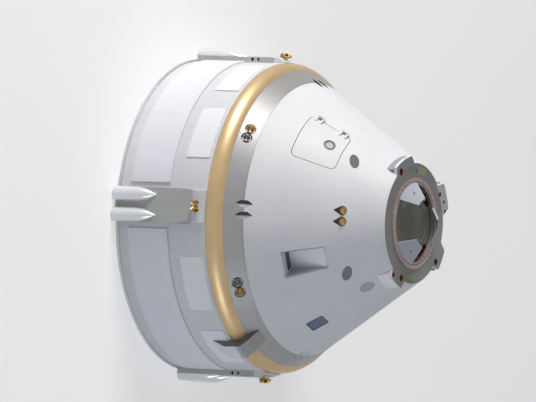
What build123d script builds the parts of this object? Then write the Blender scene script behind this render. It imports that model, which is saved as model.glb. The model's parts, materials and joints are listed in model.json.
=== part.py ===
from build123d import *
from math import atan2, cos, degrees, radians, sin, tan
import os

os.makedirs("parts", exist_ok=True)

# The vehicle stands on its aft rim: Z runs from the rim's centre to the docking end.
# Azimuth 0 is +X, 90 is +Y. Millimetres and degrees throughout.

# Fits and gaps
FIT = 0.4
SEAM = 3.0
RUNNING = 1.0
SWING_GAP = 8.0
HATCH_GAP = 9.0
CUT_SPARE = 40.0

# Heights of the vehicle, from the rim up
SKIRT_H = 871.0
BARREL_H = 619.0
SHOULDER_GAP = 6.0
SHOULDER_H = 223.0
BAND_H = 251.0
CONE_H = 1719.0

# Service module: the drum, its rim and the bulkhead inside it
BODY_R = 2280.0
SKIN = 60.0
SEAM_STEP = 12.0
FLANGE_LIP = 27.0
FLANGE_W = 157.0
FLANGE_H = 45.0
FLANGE_CHAMFER = 6.0
BOLT_INSET = 122.0
BOLT_HOLE_R = 12.0
BOLTS = 24
FRAME_W = 45.0
FRAME_T = 20.0
LOW_FRAME_Z = 250.0
BULKHEAD_Z = 520.0
BULKHEAD_T = 40.0
BULKHEAD_RIM_T = 40.0
RIBS = 8
RIB_T = 22.0
RIB_DEPTH = 110.0
RIB_END_DEPTH = 70.0
HUB_R = 330.0
HUB_WALL = 30.0

# Abort engines under the bulkhead
ENGINES = 4
ENGINE_AZ = 22.5
ENGINE_CIRCLE_R = 1050.0
ENGINE_EXIT_R = 330.0
ENGINE_THROAT_R = 95.0
ENGINE_WALL = 12.0
ENGINE_EXIT_Z = 70.0
ENGINE_BLOCK_H = 60.0
ENGINE_PLATE_R = 150.0
ENGINE_PLATE_T = 16.0

# Panels on the drum, placed between the pods
RADIATOR_T = 25.0
RADIATOR_AFT_Z = 205.0
RADIATOR_EDGE_AZ = 8.5
SIDE_PANEL_T = 14.0
SIDE_PANEL_INSET = (179.0, 44.0)
SIDE_PANEL_AZ = (18.5, 40.0)

# Pods: width, height over the drum and steps down from the drum's forward edge
POD_AZ = (-90, 0, 90, 180)
POD_HALF_W = 256.0
POD_H = 72.0
POD_ROOT = 60.0
POD_AFT_Z = 15.0
POD_CHEEK_DOWN = (410.0, 272.0)
POD_CHEEK_END_H = 6.0
POD_NOSE_HALF_W = 232.0
POD_NOSE_DOWN = (140.0, 4.0)
POD_NOSE_DROP = (12.0, 60.0)
BULLET_R = 108.0
BULLET_OFFSET = 150.0
BULLET_AFT_Z = 6.0
BULLET_STRAIGHT_Z = 344.0
BULLET_TIP_Z = 700.0
BULLET_MOUTH_R = 84.0
BULLET_WALL = 12.0
BULLET_MOUTH_DEPTH = 60.0
SIDE_JET_DOWN = (545.0, 443.0)
SIDE_JET_R = 25.0
SIDE_JET_SUNK = 38.0
SIDE_JET_DEPTH = 60.0
CLUSTER_DOWN = 128.0
CLUSTER_LIFT = 12.0
CLUSTER_TURNS = (36, 144, 216, 324)
CLUSTER_LEAN = 62.0
CLUSTER_STEM_R = 30.0
CLUSTER_STEM_L = 70.0
CLUSTER_CAP = 14.0
CLUSTER_BELL = (13.0, 38.0, 84.0)
CLUSTER_WALL = 3.0
SIDE_JET_THROAT_R = 9.0
SIDE_JET_GAP = 4.0

# Crew module: heat shield, grey band and hollow cone
SHOULDER_INSET = 112.0
SHOULDER_BULGE = 38.0
SHIELD_T = 70.0
SHIELD_SPHERE_R = 5500.0
SHIELD_EDGE = 5.0
FLOOR_T = 50.0
FLOOR_DROP = 69.0
WALL = 80.0
PLATE_R = 879.0
PLATE_T = 49.0

# Thruster bells on the crew module
BELL_WALL = 4.0
BELL_BACK = 8.0
BELL_THROAT_R = 16.0
CONE_BELL = (16.0, 50.0, 42.0)

# Round port recesses in the grey band: azimuth of each pair and the side its gold bell is on
BAND_PORTS = ((-122.4, -1), (-57.6, 1), (57.6, -1), (122.4, 1))
BAND_PORT_UP = 116.0
BAND_PORT_R = 84.0
BAND_PORT_STEP = (80.0, 4.0)
BAND_PORT_DEPTH = 58.0
BAND_BELL_R = (64.0, 58.0)

# Side hatch, its round window and its hinge; heights on the cone start at the band's top
HATCH_AZ = (-147.9, -119.6)
HATCH_UP = (426.0, 993.0)
HATCH_CORNER = 80.0
HATCH_WINDOW_TURN = -0.95
HATCH_WINDOW_UP = 387.0
HATCH_WINDOW_R = 73.0
HINGE_TURN = 1.3
HINGE_LIFT = 28.0
HINGE_END_INSET = (104.0, 113.0)
KNUCKLE_R = 18.0
KNUCKLE_L = 60.0
OUTER_KNUCKLE_L = 30.0
KNUCKLE_GAP = 2.0
HINGE_PIN_R = 8.0
HINGE_LEAF_L = 75.0
HINGE_LEAF_T = 10.0
HINGE_FOOT_X = (56.0, 96.0)
HINGE_FOOT_SINK = 6.0

# Windows in the cone
BLUE_WINDOW_AZ = (-24.7, -16.8)
BLUE_WINDOW_UP = (434.0, 650.0)
BLUE_WINDOW_CORNER = 22.0
WEDGE_AZ = (-70.3, -56.8)
WEDGE_UP = (435.0, 975.0)
WEDGE_CORNER = 26.0
WEDGE_BOX_T = 170.0
WEDGE_DEPTH = (150.0, 14.0)
WEDGE_LIP = 12.0
HATCH_WINDOW_LEDGE = 12.0
GLASS_T = 16.0
GLASS_INSET = 6.0

# Oval port covers: azimuth, height on the cone, half width, half height, turn
OVAL_PORTS = (
    (-131.5, 1175.0, 124.0, 72.0, 25.0),
    (-48.8, 1175.0, 124.0, 72.0, -25.0),
    (-30.5, 1324.0, 91.0, 112.0, 6.0),
    (131.5, 1175.0, 124.0, 72.0, -25.0),
    (48.8, 1175.0, 124.0, 72.0, 25.0),
)
OVAL_RECESS = 16.0
OVAL_COVER_T = 10.0
OVAL_COVER_GAP = 4.0

# Teardrop thruster trays high on the cone, each with its point aft
CONE_JET_UP = 1192.0
CONE_JET_AZ = (-93.7, -86.3, 86.3, 93.7)
CONE_JET_R = 68.0
CONE_JET_TAIL = 132.0
CONE_JET_DEPTH = 52.0
CONE_JET_LEAN = 16.0

# Scoops: pointed trays sunk over the band's upper seam, a pair on each pod's axis
SCOOP_AZ = 2.4
SCOOP_L = 262.0
SCOOP_W = 104.0
SCOOP_BEND = (0.30, 0.70)
SCOOP_DEPTH = 46.0
SCOOP_FLOOR = 8.0
SCOOP_WALL = 6.0

# Umbilical fairing over the shoulder: heights from the shoulder's aft edge and lifts over the drum
UMBILICAL_STEP = 12.0
UMBILICAL_AZ = (-34.8, -21.3)
UMBILICAL_AFT = -312.0
UMBILICAL_FOOT_UP = 161.0
UMBILICAL_RIDGE = ((-166.0, 70.0), (-56.0, 105.0), (64.0, 85.0), (204.0, -5.0))

# Docking plate: lobes as azimuth from, to, overhang, toe of the fairing below and holes.
# A hole is azimuth, distance outside the plate's edge circle, bore.
LOBES = (
    (-174.0, -136.0, 106.0, 7.0, ((-145.7, -17.0, 55.0),)),
    (101.0, 133.0, 173.0, -24.0, ((123.0, -7.0, 34.0), (113.4, 66.0, 26.0), (104.6, 68.0, 26.0))),
    (48.0, 76.0, 154.0, -12.0, ((54.7, 15.0, 50.0),)),
    (-40.0, -11.0, 121.0, 34.0, ((-33.5, 68.0, 36.0), (-19.1, -14.0, 50.0))),
)
LOBE_ROOT = 79.0
LOBE_FLARE = (5.0, 3.0)
LOBE_HOLE_DEPTH = 30.0
FAIRING_INSET_AZ = 3.0
FAIRING_LIP = 12.0
FAIRING_EDGE = 30.0

# Docking tunnel: bore, deck with its hatch opening and three pockets, rings and hooks
TUNNEL_R = 610.0
DECK_LAND = 40.0
DECK_T = 40.0
DOCK_HATCH_R = 500.0
DOCK_HATCH_FLAT_CUT = 75.0
DOCK_HATCH_CORNER = 40.0
DOCK_HATCH_T = 38.0
DOCK_HATCH_RIM = 60.0
DOCK_HATCH_DISH = 10.0
DOCK_FLATS_AZ = (-90, 30, 150)
POCKET_MARGIN = 12.0
POCKET_DEPTH = 100.0
POCKET_FLOOR_T = 12.0
POCKET_WALL = 16.0
POCKET_RELIEF = 9.0
POCKET_HALF_AZ = 27.0
SEAL_RING_W = 58.0
SEAL_RING_H = 16.0
SEAL_RING_CHAMFER = 4.0
HOOK_INSET = 32.0
HOOK_AZ = (15, 45, 75, 105, 135, 165, -165, -135, -105, -75, -45, -15)
HOOK_SPREAD = 4.0
HOOK_SIZE = (38.0, 26.0)
HOOK_CORNER = 8.0
HOOK_SUNK = 2.0
HOOK_NOTCH = (8.0, 7.0)

# Capture ring: it slides on three rods and carries three guide petals
CAPTURE_CLEAR = 6.0
CAPTURE_W = 30.0
CAPTURE_H = 52.0
CAPTURE_UP = 15.0
CAPTURE_CHAMFER = 6.0
ROD_R = 13.0
ROD_L = 370.0
ROD_INSET = 12.0
ROD_EYE = 8.0
ROD_EYE_DROP = 14.0
ROD_HOUSING_R = 24.0
ROD_HOUSING_END = 20.0
PETAL_AZ = (-150, -30, 90)
PETAL_HALF_AZ = 28.0
PETAL_TIP_HALF_W = 85.0
PETAL_REACH = 232.0
PETAL_H = 190.0
PETAL_T = 16.8
PETAL_INSET = 8.0
PETAL_RIB_T = 8.0
PETAL_RIB_W = 26.0

# Docking hatch hinge, under the deck
DOCK_HINGE_AWAY = 35.0
DOCK_HINGE_DROP = 62.0
DOCK_KNUCKLE_R = 16.0
DOCK_KNUCKLE_L = 44.0
DOCK_HINGE_X = (-120.0, 120.0)
DOCK_PIN_R = 8.0
DOCK_EAR_T = 14.0
DOCK_EAR_W = (14.0, 26.0, 40.0)
DOCK_STRAP = (40.0, 130.0, 100.0)
DOCK_STRAP_SINK = 4.0

# Inside: couches as a side profile of (Y, height over the floor), and the console
SEAT_X = (-990.0, -330.0, 330.0, 990.0)
SEAT_W = 480.0
SEAT_PROFILE = (
    (-700.0, FIT), (-620.0, 330.0), (-860.0, 620.0), (-800.0, 680.0), (-140.0, 320.0),
    (300.0, 560.0), (370.0, 500.0), (120.0, 160.0), (60.0, FIT), (-60.0, FIT),
    (-120.0, 160.0), (-480.0, 200.0), (-560.0, FIT),
)
PANEL_W = 1240.0
PANEL_PROFILE = ((1060.0, 520.0), (1120.0, 520.0), (1010.0, 900.0), (950.0, 900.0))
PANEL_POST_X = (-500.0, 440.0)
PANEL_POST_W = 60.0
PANEL_POST_PROFILE = ((1070.0, FIT), (1150.0, FIT), (1110.0, 540.0), (1070.0, 540.0))

# Radii and heights that follow from the sizes above
SKIN_R = BODY_R - SKIN
FLANGE_R = BODY_R + FLANGE_LIP
SEAM_Z = SKIRT_H
BARREL_TOP_Z = SEAM_Z + BARREL_H
SHOULDER_Z = BARREL_TOP_Z + SHOULDER_GAP
SHOULDER_TOP_Z = SHOULDER_Z + SHOULDER_H
SHOULDER_TOP_R = BODY_R - SHOULDER_INSET
BAND_TOP_Z = SHOULDER_TOP_Z + BAND_H
PLATE_Z = BAND_TOP_Z + CONE_H
CONE_TILT = atan2(SHOULDER_TOP_R - PLATE_R, PLATE_Z - SHOULDER_TOP_Z)
SLOPE = tan(CONE_TILT)
NORMAL_R = cos(CONE_TILT)
NORMAL_Z = sin(CONE_TILT)
WALL_R = WALL / NORMAL_R
FLOOR_TOP_Z = SHOULDER_TOP_Z - FLOOR_DROP + FLOOR_T
DECK_Z = PLATE_Z - PLATE_T - FIT
CAPTURE_R = TUNNEL_R - CAPTURE_CLEAR
CAPTURE_TOP_Z = PLATE_Z + CAPTURE_UP


def polar(r, az):
    """Point in plan at a radius and azimuth."""
    return (r * cos(radians(az)), r * sin(radians(az)))


def cone_r(z):
    """Outer radius of the crew module's cone at a height."""
    return SHOULDER_TOP_R - (z - SHOULDER_TOP_Z) * SLOPE


def cone_z(r):
    """Height at which the crew module's cone has a radius."""
    return PLATE_Z - (r - PLATE_R) / SLOPE


def wall_point(z, depth, along=0.0):
    """(radius, height) of a point under the cone's skin, moved along the slope."""
    r = cone_r(z) - depth * NORMAL_R - along * NORMAL_Z
    return (r, z - depth * NORMAL_Z + along * NORMAL_R)


def radial(az):
    """Plane through the Z axis at an azimuth: local X is the radius, local Y is Z."""
    return Plane(
        origin=(0, 0, 0), x_dir=(*polar(1, az), 0), z_dir=(*polar(1, az - 90), 0),
    )


def side_view(az, r, across):
    """Plane like radial(az), moved out to a radius and across the azimuth."""
    x, y = polar(r, az)
    side_x, side_y = polar(across, az + 90)
    return Plane(
        origin=(x + side_x, y + side_y, 0), x_dir=(*polar(1, az), 0),
        z_dir=(*polar(1, az - 90), 0),
    )


def outward(az, r, z, tilt=0.0):
    """Plane facing out of the body: local X is along the azimuth, local Y is up."""
    facing = (*polar(cos(tilt), az), sin(tilt))
    return Plane(origin=(*polar(r, az), z), x_dir=(*polar(1, az + 90), 0), z_dir=facing)


def sideways(az, r, across, z):
    """Plane on a side face of a pod, facing away from the pod's middle."""
    x, y = polar(r, az)
    side_x, side_y = polar(across, az + 90)
    facing = polar(1 if across > 0 else -1, az + 90)
    return Plane(origin=(x + side_x, y + side_y, z), x_dir=(0, 0, 1), z_dir=(*facing, 0))


def leaning(place, turn, lean):
    """A plane tipped by lean degrees towards the direction at turn degrees from its X."""
    t = radians(turn)
    across = place.x_dir * cos(t) + place.y_dir * sin(t)
    facing = place.z_dir * cos(radians(lean)) + across * sin(radians(lean))
    return Plane(origin=place.origin, x_dir=place.z_dir.cross(across), z_dir=facing)


def on_cone(az, z, lift=0.0):
    """Outward plane on the cone's skin, raised by lift."""
    return outward(az, cone_r(z) + lift * NORMAL_R, z + lift * NORMAL_Z, CONE_TILT)


def sector(outline, az_from, az_to):
    """Solid swept by a closed (radius, height) outline from one azimuth to another."""
    with BuildPart() as body:
        with BuildSketch(radial(az_from)):
            with BuildLine():
                Polyline(*outline, close=True)
            make_face()
        revolve(axis=Axis.Z, revolution_arc=az_to - az_from)
    return body.part


def ring_of(outline):
    """Solid of revolution of a closed (radius, height) outline."""
    return sector(outline, 0, 360)


def wall_patch(az_range, z_range, corner, top, bottom, grow=0.0):
    """Piece of the cone's wall between two azimuths and two heights, with round corners.

    top and bottom are depths under the skin, and grow widens the piece all round."""
    z_mid = sum(z_range) / 2
    spread = degrees(grow / cone_r(z_mid))
    outline = [
        wall_point(z_range[0], top, -grow),
        wall_point(z_range[1], top, grow),
        wall_point(z_range[1], bottom, grow),
        wall_point(z_range[0], bottom, -grow),
    ]
    body = sector(outline, az_range[0] - spread, az_range[1] + spread)
    with BuildPart() as patch:
        add(body)
        through = patch.edges().filter_by(GeomType.LINE)
        through = through.filter_by(lambda e: abs(e.length - (bottom - top)) < FIT)
        fillet(through, radius=corner + grow)
    return patch.part


def oval_prism(az, z, half_x, half_y, turn, top, bottom):
    """Elliptical plug through the cone's skin, between two depths under it."""
    with BuildPart() as plug:
        with BuildSketch(on_cone(az, z, -bottom)):
            Ellipse(half_x, half_y, rotation=turn)
        extrude(amount=bottom - top)
    return plug.part


def box_prism(plane, width, height, corner, low, high):
    """Rounded rectangle on a plane, from one level above it to another."""
    with BuildPart() as block:
        with BuildSketch(plane.offset(low)):
            RectangleRounded(width, height, corner)
        extrude(amount=high - low)
    return block.part


def teardrop(plane, low, high):
    """Round column on a plane whose outline runs to a point aft, from one level to another."""
    lean = CONE_JET_R / CONE_JET_TAIL
    side = CONE_JET_R * (1 - lean**2) ** 0.5
    touch = -CONE_JET_R * lean
    with BuildPart() as drop:
        with BuildSketch(plane.offset(low)):
            Circle(CONE_JET_R)
            with BuildLine():
                Polyline((side, touch), (0, -CONE_JET_TAIL), (-side, touch), (0, 0), close=True)
            make_face()
        extrude(amount=high - low)
    return drop.part


def scoop_prism(plane, grow, low, high):
    """Lozenge column with its long points fore and aft, from one level to another."""
    half_l = SCOOP_L / 2 + 2 * grow
    half_w = SCOOP_W / 2 + grow
    aft_y, fore_y = [half_l * (2 * share - 1) for share in SCOOP_BEND]
    with BuildPart() as block:
        with BuildSketch(plane.offset(low)):
            with BuildLine():
                Polyline(
                    (0, -half_l), (half_w, aft_y), (half_w, fore_y), (0, half_l),
                    (-half_w, fore_y), (-half_w, aft_y), close=True,
                )
            make_face()
        extrude(amount=high - low)
    return block.part


def bell(plane, throat_r, exit_r, length, wall, back):
    """Thruster bell on a plane: a flared cup that opens along the plane's normal."""
    waist = throat_r + (exit_r - throat_r) / 2
    waist_z = 0.30 * length
    with BuildPart() as cup:
        with BuildSketch(Plane(origin=plane.origin, x_dir=plane.x_dir, z_dir=-plane.y_dir)):
            with BuildLine():
                flare = Bezier((throat_r, 0), (waist, waist_z), (exit_r, length))
                inner = Bezier((exit_r - wall, length), (waist - wall, waist_z), (throat_r - wall, 0))
                Line(flare @ 1, inner @ 0)
                Polyline(inner @ 1, (0, 0), (0, -back), (throat_r, -back), flare @ 0)
            make_face()
        revolve(axis=Axis(plane.origin, plane.z_dir))
    return cup.part


def finish(body, name):
    """Name a finished sub-part and write it."""
    body.label = name
    export_step(body, f"parts/{name}.step")


def gather(pieces, name):
    """Write several separate solids as one sub-part."""
    with BuildPart() as group:
        for piece in pieces:
            add(piece)
    finish(group.part, name)


# Aft flange: the rim that the vehicle stands on, with its circle of bolt holes
flange_ring = ring_of([
    (FLANGE_R - FLANGE_W, 0), (FLANGE_R - FLANGE_CHAMFER, 0), (FLANGE_R, FLANGE_CHAMFER),
    (FLANGE_R, FLANGE_H - FLANGE_CHAMFER), (FLANGE_R - FLANGE_CHAMFER, FLANGE_H),
    (FLANGE_R - FLANGE_W, FLANGE_H),
])
with BuildPart() as aft_flange:
    add(flange_ring)
    with Locations((0, 0, FLANGE_H)):
        with PolarLocations(FLANGE_R - BOLT_INSET, BOLTS, start_angle=180 / BOLTS):
            Hole(BOLT_HOLE_R)
finish(aft_flange.part, "aft_flange")

# Aft skirt: the lower drum of the service module
finish(ring_of([
    (SKIN_R, FLANGE_H), (BODY_R, FLANGE_H), (BODY_R, SEAM_Z - SEAM), (SKIN_R, SEAM_Z - SEAM),
]), "aft_skirt")

# Skirt frames: two ring frames inside the skirt, the upper one under the bulkhead's edge
frame_outer_r = SKIN_R - FIT
gather([
    ring_of([
        (frame_outer_r - FRAME_W, low), (frame_outer_r, low),
        (frame_outer_r, high), (frame_outer_r - FRAME_W, high),
    ])
    for low, high in (
        (LOW_FRAME_Z, LOW_FRAME_Z + FRAME_T),
        (BULKHEAD_Z - BULKHEAD_RIM_T, BULKHEAD_Z),
    )
], "skirt_frames")

# Forward barrel: the upper drum, with a groove at the seam and a chamfer under the heat shield
finish(ring_of([
    (SKIN_R, SEAM_Z - SEAM), (BODY_R - SEAM_STEP, SEAM_Z - SEAM), (BODY_R - SEAM_STEP, SEAM_Z),
    (BODY_R, SEAM_Z), (BODY_R, BARREL_TOP_Z - 2 * SEAM), (BODY_R - 2 * SEAM, BARREL_TOP_Z),
    (SKIN_R, BARREL_TOP_Z),
]), "forward_barrel")

# Aft bulkhead: a flat disc that closes the drum above the engines
with BuildPart() as aft_bulkhead:
    with BuildSketch(Plane.XY.offset(BULKHEAD_Z)):
        Circle(SKIN_R - FIT)
    extrude(amount=BULKHEAD_T)
finish(aft_bulkhead.part, "aft_bulkhead")

# Bulkhead ribs: radial webs that taper outwards, round a hub ring
rib_end_r = frame_outer_r - FRAME_W - 2 * RIB_T
bulkhead_ribs = [ring_of([
    (HUB_R - HUB_WALL, BULKHEAD_Z - RIB_DEPTH), (HUB_R, BULKHEAD_Z - RIB_DEPTH),
    (HUB_R, BULKHEAD_Z), (HUB_R - HUB_WALL, BULKHEAD_Z),
])]
for k in range(RIBS):
    with BuildPart() as rib:
        with BuildSketch(side_view(k * 360 / RIBS, 0, RIB_T / 2)):
            with BuildLine():
                Polyline(
                    (HUB_R + FIT, BULKHEAD_Z - RIB_DEPTH), (rib_end_r, BULKHEAD_Z - RIB_END_DEPTH),
                    (rib_end_r, BULKHEAD_Z), (HUB_R + FIT, BULKHEAD_Z), close=True,
                )
            make_face()
        extrude(amount=RIB_T)
    bulkhead_ribs.append(rib.part)
gather(bulkhead_ribs, "bulkhead_ribs")

# Abort engines: bells hung from round mounting plates between the ribs
engine_top = BULKHEAD_Z - ENGINE_BLOCK_H
abort_engines = []
for k in range(ENGINES):
    engine_at = polar(ENGINE_CIRCLE_R, ENGINE_AZ + k * 360 / ENGINES)
    engine_bell = bell(
        Plane(origin=(*engine_at, engine_top), z_dir=(0, 0, -1)),
        ENGINE_THROAT_R, ENGINE_EXIT_R, engine_top - ENGINE_EXIT_Z, ENGINE_WALL, ENGINE_BLOCK_H,
    )
    with BuildPart() as engine:
        add(engine_bell)
        with BuildSketch(Plane.XY.offset(BULKHEAD_Z)):
            with Locations(engine_at):
                Circle(ENGINE_PLATE_R)
        extrude(amount=-ENGINE_PLATE_T)
    abort_engines.append(engine.part)
gather(abort_engines, "abort_engines")

# Radiators: four curved panels on the aft skirt, with bevelled edges
radiator_bed = BODY_R + FIT
radiator_top = radiator_bed + RADIATOR_T
radiator_bevel = RADIATOR_T / 4
gather([
    sector(
        [
            (radiator_bed, RADIATOR_AFT_Z), (radiator_top - radiator_bevel, RADIATOR_AFT_Z),
            (radiator_top, RADIATOR_AFT_Z + radiator_bevel),
            (radiator_top, SEAM_Z - SEAM - radiator_bevel),
            (radiator_top - radiator_bevel, SEAM_Z - SEAM), (radiator_bed, SEAM_Z - SEAM),
        ],
        az + RADIATOR_EDGE_AZ, az + 90 - RADIATOR_EDGE_AZ,
    )
    for az in POD_AZ
], "radiators")

# Side panels: eight thin covers on the forward barrel, one on each side of every pod
panel_bed = BODY_R + FIT
panel_low_z = SEAM_Z + SIDE_PANEL_INSET[0]
panel_high_z = BARREL_TOP_Z - SIDE_PANEL_INSET[1]
gather([
    sector(
        [
            (panel_bed, panel_low_z), (panel_bed + SIDE_PANEL_T, panel_low_z),
            (panel_bed + SIDE_PANEL_T, panel_high_z), (panel_bed, panel_high_z),
        ],
        az_from, az_from + SIDE_PANEL_AZ[1] - SIDE_PANEL_AZ[0],
    )
    for az in POD_AZ
    for az_from in (az + SIDE_PANEL_AZ[0], az - SIDE_PANEL_AZ[1])
], "side_panels")

# Heat shield: a shallow dish whose rounded shoulder shows as the gold band
dish_edge_r = SKIN_R - SHIELD_EDGE
dish_centre_z = SHOULDER_Z + (SHIELD_SPHERE_R**2 - dish_edge_r**2) ** 0.5
band_foot_r = SHOULDER_TOP_R - WALL_R
shield_inner_r = band_foot_r - SEAM


def dish_point(r, depth):
    """(radius, height) on the dish's sphere, or on the one that lies depth inside it."""
    return (r, dish_centre_z - ((SHIELD_SPHERE_R - depth) ** 2 - r**2) ** 0.5)


with BuildPart() as heat_shield:
    with BuildSketch(Plane.XZ):
        with BuildLine():
            under = ThreePointArc(*[dish_point(f * dish_edge_r, 0) for f in (0, 0.5, 1)])
            Line(under @ 1, (BODY_R, SHOULDER_Z))
            SagittaArc((BODY_R, SHOULDER_Z), (SHOULDER_TOP_R, SHOULDER_TOP_Z), -SHOULDER_BULGE)
            inside = ThreePointArc(*[dish_point(f * shield_inner_r, SHIELD_T) for f in (1, 0.5, 0)])
            Polyline((SHOULDER_TOP_R, SHOULDER_TOP_Z), (shield_inner_r, SHOULDER_TOP_Z), inside @ 0)
            Line(inside @ 1, under @ 0)
        make_face()
    revolve(axis=Axis.Z)
finish(heat_shield.part, "heat_shield")

# Cabin floor: closes the hollow cabin above the heat shield
with BuildPart() as cabin_floor:
    with BuildSketch(Plane.XY.offset(FLOOR_TOP_Z - FLOOR_T)):
        Circle(shield_inner_r - FIT)
    extrude(amount=FLOOR_T)
finish(cabin_floor.part, "cabin_floor")

# Lower backshell: the grey band, a full ring of the wall with two round recesses at each port
band_ring = ring_of([
    (cone_r(SHOULDER_TOP_Z + SEAM), SHOULDER_TOP_Z),
    (cone_r(SHOULDER_TOP_Z + SEAM), SHOULDER_TOP_Z + SEAM),
    (cone_r(BAND_TOP_Z - SEAM), BAND_TOP_Z - SEAM),
    (cone_r(BAND_TOP_Z) - WALL_R, BAND_TOP_Z - SEAM),
    (band_foot_r, SHOULDER_TOP_Z),
])
port_seats = [
    (on_cone(az, SHOULDER_TOP_Z + BAND_PORT_UP), side * BAND_PORT_STEP[0], BAND_PORT_STEP[1])
    for az, side in BAND_PORTS
]
scoop_places = [
    on_cone(az + side, BAND_TOP_Z) for az in POD_AZ for side in (-SCOOP_AZ, SCOOP_AZ)
]
scoop_cuts = [scoop_prism(place, 0, -SCOOP_DEPTH, CUT_SPARE) for place in scoop_places]
with BuildPart() as lower_backshell:
    add(band_ring)
    for place, along, up in port_seats:
        with BuildSketch(place.offset(-BAND_PORT_DEPTH)):
            with Locations((along, up), (-along, -up)):
                Circle(BAND_PORT_R)
        extrude(amount=2 * BAND_PORT_DEPTH, mode=Mode.SUBTRACT)
    for cut in scoop_cuts:
        add(cut, mode=Mode.SUBTRACT)
finish(lower_backshell.part, "lower_backshell")

# Band thrusters: in each port a wide bell forward and a narrow one aft
band_bells = []
for place, along, up in port_seats:
    for end, exit_r in ((1, BAND_BELL_R[0]), (-1, BAND_BELL_R[1])):
        seat = Plane(
            origin=place.from_local_coords((end * along, end * up, FIT + BELL_BACK - BAND_PORT_DEPTH)),
            x_dir=place.x_dir, z_dir=place.z_dir,
        )
        band_bells.append(
            bell(seat, BELL_THROAT_R, exit_r, BAND_PORT_DEPTH - BELL_WALL, BELL_WALL, BELL_BACK)
        )
gather(band_bells, "band_thrusters")

# Cut-outs in the cone, by what shows through them
hatch_z = (BAND_TOP_Z + HATCH_UP[0], BAND_TOP_Z + HATCH_UP[1])
blue_z = (BAND_TOP_Z + BLUE_WINDOW_UP[0], BAND_TOP_Z + BLUE_WINDOW_UP[1])
wedge_z = (BAND_TOP_Z + WEDGE_UP[0], BAND_TOP_Z + WEDGE_UP[1])
cone_jet_z = BAND_TOP_Z + CONE_JET_UP
hatch_cut = wall_patch(HATCH_AZ, hatch_z, HATCH_CORNER, -CUT_SPARE, WALL + CUT_SPARE, HATCH_GAP)
blue_cut = wall_patch(BLUE_WINDOW_AZ, blue_z, BLUE_WINDOW_CORNER, -CUT_SPARE, WALL + CUT_SPARE)
wedge_cut = wall_patch(WEDGE_AZ, wedge_z, WEDGE_CORNER, -CUT_SPARE, WALL + CUT_SPARE)
oval_cuts = [
    oval_prism(az, BAND_TOP_Z + up, a, b, turn, -CUT_SPARE, OVAL_RECESS)
    for az, up, a, b, turn in OVAL_PORTS
]
jet_trays = [teardrop(on_cone(az, cone_jet_z), -CONE_JET_DEPTH, CUT_SPARE) for az in CONE_JET_AZ]

# Cone panels: four quadrants of the upper backshell, whose seams lie on the pods' axes
PANEL_CUTS = {
    "cone_panel_1": (-180, [hatch_cut, oval_cuts[0], *jet_trays[:2]]),
    "cone_panel_2": (-90, [blue_cut, wedge_cut, *oval_cuts[1:3], *jet_trays[:2]]),
    "cone_panel_3": (0, [oval_cuts[4], *jet_trays[2:]]),
    "cone_panel_4": (90, [oval_cuts[3], *jet_trays[2:]]),
}
panel_seam = degrees(FIT / BODY_R)
panel_top_z = PLATE_Z - PLATE_T - FIT
panel_foot_z = BAND_TOP_Z - SEAM + FIT
tongue_r = cone_r(BAND_TOP_Z) - 2 * SEAM
panel_outline = [
    (cone_r(BAND_TOP_Z), BAND_TOP_Z), (cone_r(panel_top_z), panel_top_z),
    (cone_r(panel_top_z) - WALL_R, panel_top_z), (cone_r(BAND_TOP_Z) - WALL_R, BAND_TOP_Z),
    (cone_r(BAND_TOP_Z) - WALL_R, panel_foot_z), (tongue_r, panel_foot_z), (tongue_r, BAND_TOP_Z),
]
for name, (az, cuts) in PANEL_CUTS.items():
    quadrant = sector(panel_outline, az + panel_seam, az + 90 - panel_seam)
    with BuildPart() as cone_panel:
        add(quadrant)
        for cut in cuts + scoop_cuts:
            add(cut, mode=Mode.SUBTRACT)
    finish(cone_panel.part, name)

# Oval covers, sunk in their recesses
gather([
    oval_prism(
        az, BAND_TOP_Z + up, a - OVAL_COVER_GAP, b - OVAL_COVER_GAP, turn,
        OVAL_RECESS - OVAL_COVER_T - FIT, OVAL_RECESS - FIT,
    )
    for az, up, a, b, turn in OVAL_PORTS
], "port_covers")

# Cone thrusters: in each tray a bell that leans forward from its seat
cone_thrusters = []
for az in CONE_JET_AZ:
    jet_place = on_cone(az, cone_jet_z, -CONE_JET_DEPTH / 2)
    jet_seat = box_prism(
        on_cone(az, cone_jet_z), CONE_BELL[1], CONE_BELL[1], CONE_BELL[0],
        FIT - CONE_JET_DEPTH, BELL_BACK - CONE_JET_DEPTH / 2,
    )
    jet_bell = bell(leaning(jet_place, 90, CONE_JET_LEAN), *CONE_BELL, BELL_WALL, BELL_BACK)
    with BuildPart() as thruster:
        add(jet_bell)
        add(jet_seat)
    cone_thrusters.append(thruster.part)
gather(cone_thrusters, "cone_thrusters")

# Side hatch: a rounded piece of the wall with a round window and the moving hinge knuckles
def hinge_plane(z):
    """Plane on the hatch's hinge axis: local X towards the hatch, local Y along the axis."""
    return on_cone(HATCH_AZ[0] - HINGE_TURN, z, HINGE_LIFT)


def hinge_round(z, y_from, y_to, r):
    """Round bar along the hatch's hinge axis."""
    place = hinge_plane(z)
    start = Plane(
        origin=place.from_local_coords((0, y_from, 0)), x_dir=place.x_dir, z_dir=place.y_dir,
    )
    with BuildPart() as bar:
        with BuildSketch(start):
            Circle(r)
        extrude(amount=y_to - y_from)
    return bar.part


def hinge_strap(z, y_from, y_to, outline):
    """Strap of a hinge, extruded along the axis from its (across, height) outline."""
    place = hinge_plane(z)
    end = Plane(
        origin=place.from_local_coords((0, y_to, 0)), x_dir=place.x_dir, z_dir=-place.y_dir,
    )
    with BuildPart() as strap:
        with BuildSketch(end):
            with BuildLine():
                Polyline(*outline, close=True)
            make_face()
        extrude(amount=y_to - y_from)
    return strap.part


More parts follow.
